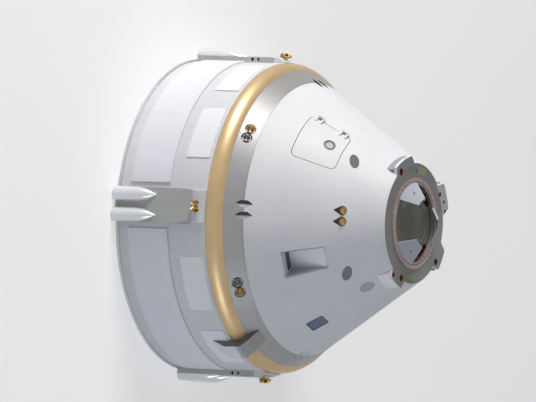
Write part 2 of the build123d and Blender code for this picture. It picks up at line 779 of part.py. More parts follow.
hinge_heights = (hatch_z[0] + HINGE_END_INSET[0], hatch_z[1] - HINGE_END_INSET[1])
knuckle_half = KNUCKLE_L / 2
outer_from = knuckle_half + KNUCKLE_GAP
outer_to = outer_from + OUTER_KNUCKLE_L
knuckle_web = 2 * KNUCKLE_R / 3
leaf_top = HINGE_LEAF_T - HINGE_LIFT
fixed_strap = (
    (-HINGE_LEAF_L, FIT - HINGE_LIFT), (-knuckle_web, FIT - HINGE_LIFT),
    (knuckle_web, -knuckle_web / 2), (knuckle_web, knuckle_web / 2), (-knuckle_web, knuckle_web / 2),
    (-2 * knuckle_web, leaf_top), (-HINGE_LEAF_L, leaf_top),
)
strap_under = HINGE_PIN_R - HINGE_LIFT
moving_strap = (
    (-knuckle_web, -HINGE_PIN_R - KNUCKLE_GAP), (0, strap_under), (HINGE_FOOT_X[0], strap_under),
    (HINGE_FOOT_X[0], -HINGE_LIFT - HINGE_FOOT_SINK), (HINGE_FOOT_X[1], -HINGE_LIFT - HINGE_FOOT_SINK),
    (HINGE_FOOT_X[1], leaf_top), (2 * knuckle_web, HINGE_PIN_R), (-knuckle_web, HINGE_PIN_R),
)
hatch_blank = wall_patch(HATCH_AZ, hatch_z, HATCH_CORNER, 0, WALL)
moving_straps = []
for z in hinge_heights:
    for y_from, y_to in ((-outer_to, -outer_from), (outer_from, outer_to)):
        strap_body = hinge_strap(z, y_from, y_to, moving_strap)
        strap_eye = hinge_round(z, y_from, y_to, KNUCKLE_R)
        strap_bore = hinge_round(z, y_from - RUNNING, y_to + RUNNING, HINGE_PIN_R + RUNNING)
        with BuildPart() as moving_knuckle:
            add(strap_body)
            add(strap_eye)
            add(strap_bore, mode=Mode.SUBTRACT)
        moving_straps.append(moving_knuckle.part)
window_place = on_cone(
    sum(HATCH_AZ) / 2 + HATCH_WINDOW_TURN, hatch_z[0] + HATCH_WINDOW_UP, -GLASS_INSET - GLASS_T,
)
with BuildPart() as side_hatch:
    add(hatch_blank)
    for moving in moving_straps:
        add(moving)
    with BuildSketch(window_place):
        Circle(HATCH_WINDOW_R - HATCH_WINDOW_LEDGE)
    extrude(amount=-WALL, mode=Mode.SUBTRACT)
    with BuildSketch(window_place):
        Circle(HATCH_WINDOW_R)
    extrude(amount=WALL, mode=Mode.SUBTRACT)
finish(side_hatch.part, "side_hatch")

with BuildPart() as hatch_window:
    with BuildSketch(window_place.offset(FIT)):
        Circle(HATCH_WINDOW_R - FIT)
    extrude(amount=GLASS_T - FIT)
finish(hatch_window.part, "hatch_window")

# Fixed hinge halves on the cone, each with the pin that the hatch's knuckles turn on
hatch_hinges = []
for z in hinge_heights:
    fixed_leaf = hinge_strap(z, -knuckle_half, knuckle_half, fixed_strap)
    fixed_eye = hinge_round(z, -knuckle_half, knuckle_half, KNUCKLE_R)
    pin = hinge_round(z, -outer_to - 2 * KNUCKLE_GAP, outer_to + 2 * KNUCKLE_GAP, HINGE_PIN_R)
    with BuildPart() as fixed_half:
        add(fixed_leaf)
        add(fixed_eye)
        add(pin)
    hatch_hinges.append(fixed_half.part)
gather(hatch_hinges, "hatch_hinges")

# Blue window: a pane set in the wall, nearly flush with the skin
finish(wall_patch(
    BLUE_WINDOW_AZ, blue_z, BLUE_WINDOW_CORNER, GLASS_INSET, GLASS_INSET + GLASS_T, -FIT,
), "blue_window")

# Wedge window: a box let into the cone whose flat floor sinks towards the aft end
wedge_blank = wall_patch(WEDGE_AZ, wedge_z, WEDGE_CORNER, 0, WEDGE_BOX_T, -FIT)
wedge_side = degrees(WEDGE_LIP / cone_r(sum(wedge_z) / 2))
wedge_room = sector(
    [
        wall_point(wedge_z[0], WEDGE_DEPTH[0], WEDGE_LIP), wall_point(wedge_z[1], WEDGE_DEPTH[1], -WEDGE_LIP),
        wall_point(wedge_z[1], -CUT_SPARE, -WEDGE_LIP), wall_point(wedge_z[0], -CUT_SPARE, WEDGE_LIP),
    ],
    WEDGE_AZ[0] + wedge_side, WEDGE_AZ[1] - wedge_side,
)
with BuildPart() as wedge_window:
    add(wedge_blank)
    add(wedge_room, mode=Mode.SUBTRACT)
finish(wedge_window.part, "wedge_window")

# Scoops: thin pointed trays in the cuts over the band's upper seam
scoops = []
for place in scoop_places:
    tray_solid = scoop_prism(place, -FIT, FIT - SCOOP_DEPTH, -FIT)
    tray_room = scoop_prism(place, -FIT - SCOOP_WALL, SCOOP_FLOOR - SCOOP_DEPTH, CUT_SPARE)
    with BuildPart() as scoop:
        add(tray_solid)
        add(tray_room, mode=Mode.SUBTRACT)
    scoops.append(scoop.part)
gather(scoops, "scoops")

# Umbilical fairing: bridges the two modules over the gold shoulder
umbilical_bed = panel_bed + SIDE_PANEL_T + FIT
umbilical_foot_z = SHOULDER_TOP_Z + UMBILICAL_FOOT_UP
finish(sector(
    [
        (umbilical_bed, SHOULDER_Z + UMBILICAL_AFT),
        (umbilical_bed, SHOULDER_Z + SHOULDER_H / 2 + UMBILICAL_STEP),
        (cone_r(SHOULDER_TOP_Z) + SEAM, SHOULDER_TOP_Z + SEAM),
        (cone_r(umbilical_foot_z) + FIT, umbilical_foot_z),
        (cone_r(umbilical_foot_z) + 2 * SEAM, umbilical_foot_z + SEAM),
        *[(BODY_R + lift, SHOULDER_Z + up) for up, lift in reversed(UMBILICAL_RIDGE)],
    ],
    *UMBILICAL_AZ,
), "umbilical_fairing")

# Pods: a flat box with a sloping nose, twin pointed fairings and a cross of small thrusters
pod_top_r = BODY_R + POD_H
pod_floor_r = BODY_R - POD_ROOT
cheek_z = [BARREL_TOP_Z - down for down in POD_CHEEK_DOWN]
nose_z = [BARREL_TOP_Z - down for down in POD_NOSE_DOWN]
nose_r = [pod_top_r - drop for drop in POD_NOSE_DROP]
jet_r = pod_top_r - SIDE_JET_SUNK
jet_heights = [BARREL_TOP_Z - down for down in SIDE_JET_DOWN]
cluster_z = BARREL_TOP_Z - CLUSTER_DOWN
cluster_r = pod_top_r + CLUSTER_LIFT
pod_bed = Cylinder(BODY_R + FIT, 2 * PLATE_Z)
rim_room = ring_of([
    (FLANGE_R - FLANGE_W, -POD_AFT_Z), (FLANGE_R + FIT, -POD_AFT_Z),
    (FLANGE_R + FIT, FLANGE_H + FIT), (FLANGE_R - FLANGE_W, FLANGE_H + FIT),
])
ogive_r = ((BULLET_TIP_Z - BULLET_STRAIGHT_Z) ** 2 + BULLET_R**2) / (2 * BULLET_R)


def pod_block(az, half_w, outline):
    """Block as wide as two half widths, from its (radius, height) side view."""
    with BuildPart() as block:
        with BuildSketch(side_view(az, 0, half_w)):
            with BuildLine():
                Polyline(*outline, close=True)
            make_face()
        extrude(amount=2 * half_w)
    return block.part


def bullet(az, across):
    """Half of a pointed tube that lies on the pod, with a mouth in its aft end."""
    foot = side_view(az, pod_top_r + FIT, across)
    with BuildPart() as pointed:
        with BuildSketch(Plane(origin=foot.origin, x_dir=foot.z_dir, z_dir=-foot.x_dir)):
            with BuildLine():
                edge = Polyline((0, BULLET_AFT_Z), (BULLET_R, BULLET_AFT_Z), (BULLET_R, BULLET_STRAIGHT_Z))
                nose = RadiusArc(edge @ 1, (0, BULLET_TIP_Z), -ogive_r)
                Line(nose @ 1, edge @ 0)
            make_face()
        revolve(axis=Axis(foot.origin, (0, 0, 1)), revolution_arc=180)
        with BuildSketch(Plane(origin=foot.origin, x_dir=foot.x_dir, z_dir=(0, 0, 1)).offset(BULLET_AFT_Z)):
            Circle(BULLET_MOUTH_R)
            Rectangle(2 * BULLET_WALL, 2 * BULLET_R, mode=Mode.SUBTRACT)
        extrude(amount=BULLET_MOUTH_DEPTH, mode=Mode.SUBTRACT)
    return pointed.part


side_jets = []
for number, az in enumerate(POD_AZ, start=1):
    pod_box = pod_block(az, POD_HALF_W, [
        (pod_floor_r, POD_AFT_Z), (pod_top_r, POD_AFT_Z), (pod_top_r, cheek_z[0]),
        (BODY_R + POD_CHEEK_END_H, cheek_z[1]), (pod_floor_r, cheek_z[1]),
    ])
    pod_nose = pod_block(az, POD_NOSE_HALF_W, [
        (pod_floor_r, cheek_z[0]), (pod_top_r, cheek_z[0]), (pod_top_r, cheek_z[1]),
        (nose_r[0], nose_z[0]), (nose_r[1], nose_z[1]), (pod_floor_r, nose_z[1]),
    ])
    hub = outward(az, cluster_r, cluster_z)
    with BuildPart() as pod_base:
        add(pod_box)
        add(pod_nose)
        add(pod_bed, mode=Mode.SUBTRACT)
        add(rim_room, mode=Mode.SUBTRACT)
        with BuildSketch(hub.offset(-CLUSTER_STEM_L)):
            Circle(CLUSTER_STEM_R + FIT)
        extrude(amount=2 * CLUSTER_STEM_L, mode=Mode.SUBTRACT)
        for side in (-1, 1):
            for z in jet_heights:
                with BuildSketch(sideways(az, jet_r, side * POD_HALF_W, z)):
                    Circle(SIDE_JET_R)
                extrude(amount=-SIDE_JET_DEPTH, mode=Mode.SUBTRACT)
    finish(pod_base.part, f"pod_base_{number}")

    gather([bullet(az, side * BULLET_OFFSET) for side in (-1, 1)], f"pod_fairings_{number}")

    cluster_bells = [
        bell(leaning(hub, turn, CLUSTER_LEAN), *CLUSTER_BELL, CLUSTER_WALL, BELL_BACK)
        for turn in CLUSTER_TURNS
    ]
    with BuildPart() as pod_thrusters:
        with BuildSketch(hub.offset(FIT - CLUSTER_STEM_L)):
            Circle(CLUSTER_STEM_R)
        extrude(amount=CLUSTER_STEM_L + CLUSTER_CAP)
        for cluster_bell in cluster_bells:
            add(cluster_bell)
    finish(pod_thrusters.part, f"pod_thrusters_{number}")

    for side in (-1, 1):
        for z in jet_heights:
            across = side * (POD_HALF_W - SIDE_JET_DEPTH + FIT + BELL_BACK)
            side_jets.append(bell(
                sideways(az, jet_r, across, z), SIDE_JET_THROAT_R, SIDE_JET_R - SIDE_JET_GAP,
                SIDE_JET_DEPTH - 2 * BELL_BACK, CLUSTER_WALL, BELL_BACK,
            ))

# Side jets: small bells in the holes of every pod's side faces
gather(side_jets, "side_jets")

# Docking adapter: the plate that closes the cone, with four lobes and their sockets
lobe_root_r = PLATE_R - LOBE_ROOT
plate_ring = ring_of([
    (cone_r(PLATE_Z - PLATE_T), PLATE_Z - PLATE_T), (PLATE_R, PLATE_Z),
    (TUNNEL_R, PLATE_Z), (TUNNEL_R, PLATE_Z - PLATE_T),
])
with BuildPart() as docking_adapter:
    add(plate_ring)
    with BuildSketch(Plane.XY.offset(PLATE_Z - PLATE_T)):
        for az_from, az_to, overhang, _, _ in LOBES:
            lobe_r = PLATE_R + overhang
            with BuildLine():
                edge = ThreePointArc(
                    polar(lobe_r, az_from + LOBE_FLARE[0]), polar(lobe_r, (az_from + az_to) / 2),
                    polar(lobe_r, az_to - LOBE_FLARE[0]),
                )
                Polyline(
                    edge @ 1, polar(lobe_root_r, az_to + LOBE_FLARE[1]),
                    polar(lobe_root_r, az_from - LOBE_FLARE[1]), edge @ 0,
                )
            make_face()
    extrude(amount=PLATE_T)
    for _, _, _, _, holes in LOBES:
        for az, away, bore in holes:
            with BuildSketch(Plane.XY.offset(PLATE_Z)):
                with Locations(polar(PLATE_R + away, az)):
                    Circle(bore)
            extrude(amount=-LOBE_HOLE_DEPTH, mode=Mode.SUBTRACT)
finish(docking_adapter.part, "docking_adapter")

# Lobe fairings: wedges on the cone that carry the plate's lobes
fairing_top_z = PLATE_Z - PLATE_T - FIT
lobe_fairings = []
for az_from, az_to, overhang, toe, _ in LOBES:
    fairing_r = PLATE_R + overhang - FAIRING_LIP
    lobe_fairings.append(sector(
        [
            (fairing_r + toe + FIT, cone_z(fairing_r + toe)),
            (fairing_r, cone_z(fairing_r - FAIRING_EDGE)),
            (fairing_r, fairing_top_z), (cone_r(fairing_top_z) + FIT, fairing_top_z),
        ],
        az_from + FAIRING_INSET_AZ, az_to - FAIRING_INSET_AZ,
    ))
gather(lobe_fairings, "lobe_fairings")

# Docking deck: the floor of the tunnel, with the hatch opening, three pockets and rod housings
hatch_flat_r = DOCK_HATCH_R - DOCK_HATCH_FLAT_CUT
pocket_inner_r = hatch_flat_r + SWING_GAP + POCKET_WALL
pocket_outer_r = TUNNEL_R - POCKET_MARGIN
pocket_floor_z = DECK_Z - POCKET_DEPTH
pocket_base_z = pocket_floor_z - POCKET_FLOOR_T
rod_circle_r = CAPTURE_R - CAPTURE_W / 2 - ROD_INSET
rod_low_z = CAPTURE_TOP_Z - CAPTURE_H - ROD_L
housing_low_z = rod_low_z - ROD_HOUSING_END
housing_top_z = pocket_floor_z + POCKET_DEPTH / 2
rod_places = [polar(rod_circle_r, az) for az in DOCK_FLATS_AZ]


def hatch_outline(grow):
    """Sketch of the docking hatch: a disc with three flats, widened or narrowed by grow."""
    with BuildSketch() as shape:
        Circle(DOCK_HATCH_R + grow)
        for az in DOCK_FLATS_AZ:
            with Locations(polar(hatch_flat_r + grow + DOCK_HATCH_R, az)):
                Rectangle(2 * DOCK_HATCH_R, 4 * DOCK_HATCH_R, rotation=az, mode=Mode.SUBTRACT)
        fillet(shape.vertices(), radius=DOCK_HATCH_CORNER + max(grow, 0))
    return shape.sketch


def pocket_outline(grow):
    """Sketch of the three ring pockets between the hatch's flats and the tunnel's wall."""
    outer_r = pocket_outer_r + grow
    half = POCKET_HALF_AZ + degrees(grow / outer_r)
    half_w = outer_r * sin(radians(half))
    with BuildSketch() as shape:
        for az in DOCK_FLATS_AZ:
            near_x, near_y = polar(pocket_inner_r - grow, az)
            side_x, side_y = polar(half_w, az + 90)
            with BuildLine():
                ends = [polar(outer_r, az + turn) for turn in (-half, 0, half)]
                arc = ThreePointArc(*ends)
                Polyline(arc @ 1, (near_x + side_x, near_y + side_y), (near_x - side_x, near_y - side_y), arc @ 0)
            make_face()
    return shape.sketch


hatch_hole = hatch_outline(SWING_GAP)
hatch_swing = hatch_outline(SWING_GAP + POCKET_RELIEF)
pocket_hole = pocket_outline(0)
pocket_shell = pocket_outline(POCKET_WALL - FIT)
with BuildPart() as docking_deck:
    with BuildSketch(Plane.XY.offset(DECK_Z - DECK_T)):
        Circle(TUNNEL_R + DECK_LAND)
    extrude(amount=DECK_T)
    with BuildSketch(Plane.XY.offset(pocket_base_z)):
        add(pocket_shell)
    extrude(amount=DECK_Z - DECK_T - pocket_base_z)
    with BuildSketch(Plane.XY.offset(pocket_floor_z)):
        add(pocket_hole)
    extrude(amount=POCKET_DEPTH, mode=Mode.SUBTRACT)
    with BuildSketch(Plane.XY.offset(pocket_base_z)):
        add(hatch_swing)
    extrude(amount=DECK_Z - DECK_T - pocket_base_z, mode=Mode.SUBTRACT)
    with BuildSketch(Plane.XY.offset(DECK_Z - DECK_T)):
        add(hatch_hole)
    extrude(amount=DECK_T, mode=Mode.SUBTRACT)
    with BuildSketch(Plane.XY.offset(housing_low_z)):
        with Locations(*rod_places):
            Circle(ROD_HOUSING_R)
    extrude(amount=housing_top_z - housing_low_z)
    with BuildSketch(Plane.XY.offset(rod_low_z - SWING_GAP)):
        with Locations(*rod_places):
            Circle(ROD_R + RUNNING)
    extrude(amount=housing_top_z - rod_low_z + SWING_GAP, mode=Mode.SUBTRACT)
finish(docking_deck.part, "docking_deck")

# Seal ring: the copper ring on the plate, slotted for the hooks
hook_places = [
    Plane(
        origin=(*polar(TUNNEL_R + HOOK_INSET, az + side), PLATE_Z),
        x_dir=(*polar(1, az + side), 0), z_dir=(0, 0, 1),
    )
    for az in HOOK_AZ
    for side in (-HOOK_SPREAD, HOOK_SPREAD)
]
seal_ring_r = TUNNEL_R + SEAL_RING_W
seal_blank = ring_of([
    (TUNNEL_R, PLATE_Z), (seal_ring_r, PLATE_Z), (seal_ring_r, PLATE_Z + SEAL_RING_H - SEAL_RING_CHAMFER),
    (seal_ring_r - SEAL_RING_CHAMFER, PLATE_Z + SEAL_RING_H), (TUNNEL_R, PLATE_Z + SEAL_RING_H),
])
with BuildPart() as seal_ring:
    add(seal_blank)
    with BuildSketch(*hook_places):
        RectangleRounded(HOOK_SIZE[0] + 2 * FIT, HOOK_SIZE[1] + 2 * FIT, HOOK_CORNER + FIT)
    extrude(amount=SEAL_RING_H, mode=Mode.SUBTRACT)
finish(seal_ring.part, "seal_ring")

# Docking hooks: twelve pairs of notched latch blocks, sunk in the ring's slots
hook_h = SEAL_RING_H - HOOK_SUNK
docking_hooks = []
for place in hook_places:
    with BuildPart() as hook:
        with BuildSketch(place):
            RectangleRounded(*HOOK_SIZE, HOOK_CORNER)
        extrude(amount=hook_h)
        with BuildSketch(place.offset(hook_h - HOOK_NOTCH[1])):
            Rectangle(HOOK_NOTCH[0], 2 * HOOK_SIZE[1])
        extrude(amount=HOOK_NOTCH[1], mode=Mode.SUBTRACT)
    docking_hooks.append(hook.part)
gather(docking_hooks, "docking_hooks")

# Capture ring: slides up out of the tunnel on three rods
capture_low_z = CAPTURE_TOP_Z - CAPTURE_H
capture_blank = ring_of([
    (CAPTURE_R - CAPTURE_W, capture_low_z), (CAPTURE_R, capture_low_z),
    (CAPTURE_R, CAPTURE_TOP_Z - CAPTURE_CHAMFER), (CAPTURE_R - CAPTURE_CHAMFER, CAPTURE_TOP_Z),
    (CAPTURE_R - CAPTURE_W, CAPTURE_TOP_Z),
])
with BuildPart() as capture_ring:
    add(capture_blank)
    with BuildSketch(Plane.XY.offset(capture_low_z)):
        with Locations(*rod_places):
            Circle(ROD_R + ROD_EYE)
    extrude(amount=CAPTURE_H - ROD_EYE_DROP)
    with BuildSketch(Plane.XY.offset(rod_low_z)):
        with Locations(*rod_places):
            Circle(ROD_R)
    extrude(amount=ROD_L)
finish(capture_ring.part, "capture_ring")

# Guide petals: three tapered plates of a cone that lean in over the hatch, each with edge ribs
petal_base_r = CAPTURE_R - PETAL_INSET
petal_tip_r = CAPTURE_R - PETAL_REACH
petal_foot_z = CAPTURE_TOP_Z + FIT
petal_tip_z = CAPTURE_TOP_Z + PETAL_H
base_half = petal_base_r * sin(radians(PETAL_HALF_AZ))
base_mid = petal_base_r * cos(radians(PETAL_HALF_AZ))


def petal_shell(az, outer, thickness):
    """Leaning conical strip behind the petal's outer face, between two depths under it."""
    return sector(
        [
            (petal_base_r - outer, petal_foot_z), (petal_tip_r - outer, petal_tip_z),
            (petal_tip_r - outer - thickness, petal_tip_z), (petal_base_r - outer - thickness, petal_foot_z),
        ],
        az - PETAL_HALF_AZ, az + PETAL_HALF_AZ,
    )


def petal_trapezoid(az, inset, hollow):
    """Column over the petal's outline in plan, or only its two side strips where hollow is set."""
    tip_x = petal_tip_r - PETAL_T - PETAL_RIB_W
    with BuildPart() as column:
        plan = Plane(origin=(0, 0, CAPTURE_TOP_Z), x_dir=(*polar(1, az), 0), z_dir=(0, 0, 1))
        with BuildSketch(plan):
            with BuildLine():
                Polyline(
                    (CAPTURE_R, -base_half), (base_mid, -base_half), (tip_x, -PETAL_TIP_HALF_W),
                    (tip_x, PETAL_TIP_HALF_W), (base_mid, base_half), (CAPTURE_R, base_half), close=True,
                )
            make_face()
            if hollow:
                with BuildLine():
                    Polyline(
                        (CAPTURE_R, inset - base_half), (base_mid, inset - base_half),
                        (tip_x, inset - PETAL_TIP_HALF_W), (tip_x, PETAL_TIP_HALF_W - inset),
                        (base_mid, base_half - inset), (CAPTURE_R, base_half - inset), close=True,
                    )
                make_face(mode=Mode.SUBTRACT)
        extrude(amount=PETAL_H + FIT)
    return column.part


guide_petals = []
for az in PETAL_AZ:
    face = petal_shell(az, 0, PETAL_T)
    ribs = petal_shell(az, PETAL_T - FIT, PETAL_RIB_W)
    whole = petal_trapezoid(az, 0, False)
    strips = petal_trapezoid(az, PETAL_RIB_T, True)
    with BuildPart() as petal_face:
        add(face)
        add(whole, mode=Mode.INTERSECT)
    with BuildPart() as petal_ribs:
        add(ribs)
        add(strips, mode=Mode.INTERSECT)
    with BuildPart() as petal:
        add(petal_face.part)
        add(petal_ribs.part)
    guide_petals.append(petal.part)
gather(guide_petals, "guide_petals")

# Docking hatch: a dished disc with three flats that swings down into the cabin
dock_hinge_y = DOCK_HATCH_R + DOCK_HINGE_AWAY
dock_hinge_z = DECK_Z - DOCK_HINGE_DROP
hatch_under_z = DECK_Z - DOCK_HATCH_T
strap_end_y = DOCK_HATCH_R - DOCK_STRAP[1]
hatch_plan = hatch_outline(0)
dish_plan = hatch_outline(-DOCK_HATCH_RIM)
with BuildPart() as docking_hatch:
    with BuildSketch(Plane.XY.offset(hatch_under_z)):
        add(hatch_plan)
    extrude(amount=DOCK_HATCH_T)
    with BuildSketch(Plane.XY.offset(DECK_Z - DOCK_HATCH_DISH)):
        add(dish_plan)
    extrude(amount=DOCK_HATCH_DISH, mode=Mode.SUBTRACT)
    for x in DOCK_HINGE_X:
        with BuildSketch(Plane.YZ.offset(x - DOCK_KNUCKLE_L / 2)):
            with Locations((dock_hinge_y, dock_hinge_z)):
                Circle(DOCK_KNUCKLE_R)
            with BuildLine():
                Polyline(
                    (dock_hinge_y, dock_hinge_z - DOCK_KNUCKLE_R),
                    (dock_hinge_y, dock_hinge_z + DOCK_KNUCKLE_R / 2),
                    (DOCK_HATCH_R - DOCK_STRAP[0], hatch_under_z + DOCK_STRAP_SINK),
                    (strap_end_y, hatch_under_z + DOCK_STRAP_SINK),
                    (DOCK_HATCH_R - DOCK_STRAP[2], dock_hinge_z - DOCK_KNUCKLE_R), close=True,
                )
            make_face()
        extrude(amount=DOCK_KNUCKLE_L)
        with BuildSketch(Plane.YZ.offset(x - DOCK_KNUCKLE_L)):
            with Locations((dock_hinge_y, dock_hinge_z)):
                Circle(DOCK_PIN_R + RUNNING)
        extrude(amount=2 * DOCK_KNUCKLE_L, mode=Mode.SUBTRACT)
finish(docking_hatch.part, "docking_hatch")

# Docking hatch hinge: at each knuckle two ears under the deck and a pin through them
ear_gap = DOCK_KNUCKLE_L / 2 + KNUCKLE_GAP
ear_top_z = DECK_Z - DECK_T - FIT
dock_hinges = []
for x in DOCK_HINGE_X:
    with BuildPart() as hinge_pair:
        for ear_x in (x - ear_gap - DOCK_EAR_T, x + ear_gap):
            with BuildSketch(Plane.YZ.offset(ear_x)):
                with BuildLine():
                    Polyline(
                        (dock_hinge_y - DOCK_EAR_W[0], dock_hinge_z - DOCK_EAR_W[0]),
                        (dock_hinge_y + DOCK_EAR_W[1], dock_hinge_z - DOCK_EAR_W[0]),
                        (dock_hinge_y + DOCK_EAR_W[2], ear_top_z),
                        (dock_hinge_y - DOCK_EAR_W[0], ear_top_z), close=True,
                    )
                make_face()
            extrude(amount=DOCK_EAR_T)
        with BuildSketch(Plane.YZ.offset(x - ear_gap - DOCK_EAR_T)):
            with Locations((dock_hinge_y, dock_hinge_z)):
                Circle(DOCK_PIN_R)
        extrude(amount=2 * (ear_gap + DOCK_EAR_T))
    dock_hinges.append(hinge_pair.part)
gather(dock_hinges, "dock_hinge")


def side_profile(x, width, profile):
    """Piece of a (Y, height over the floor) profile, as wide as given from one X on."""
    with BuildPart() as piece:
        with BuildSketch(Plane.YZ.offset(x)):
            with BuildLine():
                Polyline(*[(y, FLOOR_TOP_Z + up) for y, up in profile], close=True)
            make_face()
        extrude(amount=width)
    return piece.part


# Crew seats: four reclined couches on the floor, seen through the hatch and the windows
gather([side_profile(x - SEAT_W / 2, SEAT_W, SEAT_PROFILE) for x in SEAT_X], "crew_seats")

# Instrument panel: a sloping console on two posts in front of the seats
console = side_profile(-PANEL_W / 2, PANEL_W, PANEL_PROFILE)
console_posts = [side_profile(x, PANEL_POST_W, PANEL_POST_PROFILE) for x in PANEL_POST_X]
with BuildPart() as instrument_panel:
    add(console)
    for post in console_posts:
        add(post)
finish(instrument_panel.part, "instrument_panel")
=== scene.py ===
# %% [markdown]
# # A space capsule, dressed for its portrait
# The solids come from the CAD model: a drum that carries four pods, a gold heat shield edge, a grey
# band and a white cone with a docking ring. This lesson gives them their finishes and adds what is
# too small or too soft for CAD: screws, seals, pipes, cushions and straps. The vehicle stands on its
# aft rim, Z up, azimuth 0 along +X, everything in metres.

# %% Load the frame
import json
import bmesh
import bpy
import numpy as np
from mathutils import Matrix, Vector
from mathutils.bvhtree import BVHTree


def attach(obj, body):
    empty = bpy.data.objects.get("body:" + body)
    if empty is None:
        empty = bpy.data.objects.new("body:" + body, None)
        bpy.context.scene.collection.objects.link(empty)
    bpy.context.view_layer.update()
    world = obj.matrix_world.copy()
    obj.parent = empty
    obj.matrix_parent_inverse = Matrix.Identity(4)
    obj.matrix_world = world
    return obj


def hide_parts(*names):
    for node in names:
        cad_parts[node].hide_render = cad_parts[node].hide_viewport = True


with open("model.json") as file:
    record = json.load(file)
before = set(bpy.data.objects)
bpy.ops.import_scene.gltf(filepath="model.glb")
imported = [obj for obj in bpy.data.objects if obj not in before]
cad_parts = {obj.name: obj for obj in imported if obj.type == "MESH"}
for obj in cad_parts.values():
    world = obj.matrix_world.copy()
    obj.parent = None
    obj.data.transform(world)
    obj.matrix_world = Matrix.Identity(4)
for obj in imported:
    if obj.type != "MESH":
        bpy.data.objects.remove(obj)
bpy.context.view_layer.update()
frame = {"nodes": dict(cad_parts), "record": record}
BAND_FOOT_Z, PLATE_Z = 1.719, 3.689
BAND_FOOT_R, PLATE_R, BODY_R = 2.168, 0.879, 2.280
CONE_LEAN = np.arctan2(BAND_FOOT_R - PLATE_R, PLATE_Z - BAND_FOOT_Z)


def new_object(name, data):
    """Object with this data, put in the scene."""
    thing = bpy.data.objects.new(name, data)
    bpy.context.collection.objects.link(thing)
    return thing


def unit(vectors):
    """The same directions, each with length one."""
    return vectors / np.linalg.norm(vectors, axis=-1, keepdims=True)


def points_of(mesh):
    """A mesh's points, one row each."""
    flat = np.empty(len(mesh.vertices) * 3)
    mesh.vertices.foreach_get("co", flat)
    return flat.reshape(-1, 3)


# %% [markdown]
# ## Camera
# The photograph is a long-lens picture with the vehicle lying on its side: the docking end points
# right. Turning the vehicle would move the frame, so the camera is rolled instead. Its place was
# worked out from the ellipses of the drum's rims: it looks down 30 degrees from far away.

# %% Camera
CAMERA_AZ, CAMERA_TURN, CAMERA_ROLL = np.radians([3.2, 60.24, 2.10])
ORIGIN_IN_VIEW = np.array([-1.0716, 0.2075, 118.36])

view_z = np.array([np.sin(CAMERA_TURN) * np.cos(CAMERA_ROLL),
                   np.sin(CAMERA_TURN) * np.sin(CAMERA_ROLL), -np.cos(CAMERA_TURN)])
toward = unit(np.array([0, 0, -1.0]) - view_z * -view_z[2])
down = np.cross(view_z, toward)
down *= np.sign(down[1])
view_x = down * np.cos(CAMERA_AZ) + toward * np.sin(CAMERA_AZ)
view_y = down * np.sin(CAMERA_AZ) - toward * np.cos(CAMERA_AZ)
axes_in_view = np.array([view_x, view_y, view_z])
right, below, ahead = axes_in_view.T
place = np.eye(4)
place[:3, :3] = np.stack([right, -below, -ahead], axis=1)
place[:3, 3] = -axes_in_view @ ORIGIN_IN_VIEW

lens = bpy.data.cameras.new("camera")
lens.sensor_width, lens.lens = 36.0, 537.3
lens.clip_start, lens.clip_end = 1.0, 1000.0
camera = new_object("camera", lens)
camera.matrix_world = Matrix(place.tolist())
bpy.context.scene.camera = camera
print("camera at", np.round(place[:3, 3], 2))

# %% [markdown]
# ## Node helpers
# Every finish is a node tree. Short helpers keep the recipes readable: one puts a node and fills or
# links its inputs, a few do arithmetic and one blends two colours. Ingredients that many finishes
# share are node groups with named inputs.

# %% Node helpers
def put(tree, kind, values=None, **settings):
    """Add a node, set its properties, and fill each named input with a value or a link."""
    node = tree.nodes.new(kind)
    for key, value in settings.items():
        setattr(node, key, value)
    for key, value in (values or {}).items():
        if isinstance(value, bpy.types.NodeSocket):
            tree.links.new(value, node.inputs[key])
        else:
            node.inputs[key].default_value = value
    return node


def sums(tree, operation, a, b=0.0, c=0.0, clamp=False):
    """One arithmetic node; a, b and c are numbers or sockets."""
    return put(tree, "ShaderNodeMath", {0: a, 1: b, 2: c}, operation=operation, use_clamp=clamp).outputs[0]


def plus(tree, a, b, clamp=False):
    """Sum of two numbers or sockets."""
    return sums(tree, "ADD", a, b, clamp=clamp)


def times(tree, a, b, clamp=False):
    """Product of two numbers or sockets."""
    return sums(tree, "MULTIPLY", a, b, clamp=clamp)


def blend(tree, share, a, b):
    """Colour that goes from a to b by a share of 0 to 1."""
    return put(tree, "ShaderNodeMix", {0: share, 6: a, 7: b}, data_type="RGBA").outputs[2]


def spread(tree, value, low, high, to_low=0.0, to_high=1.0):
    """A value between low and high, stretched to another range and held inside it."""
    return put(tree, "ShaderNodeMapRange", {0: value, 1: low, 2: high, 3: to_low, 4: to_high}).outputs[0]


def noise(tree, where, scale, detail, rough=0.5):
    """Smooth random values of 0 to 1 over a position."""
    settings = {"Vector": where, "Scale": scale, "Detail": detail, "Roughness": rough}
    return put(tree, "ShaderNodeTexNoise", settings).outputs["Fac"]


def rgb(*colour):
    """A colour socket's four numbers."""
    return (*colour, 1.0)


def position(tree, kind="Object"):
    """The shaded point's place in the vehicle's frame, or on the UV map."""
    return put(tree, "ShaderNodeTexCoord").outputs[kind]


def split(tree, vector):
    """A vector's three numbers."""
    return put(tree, "ShaderNodeSeparateXYZ", {0: vector}).outputs


def radius_of(tree, x, y):
    """Distance from the Z axis."""
    return sums(tree, "SQRT", plus(tree, times(tree, x, x), times(tree, y, y)))


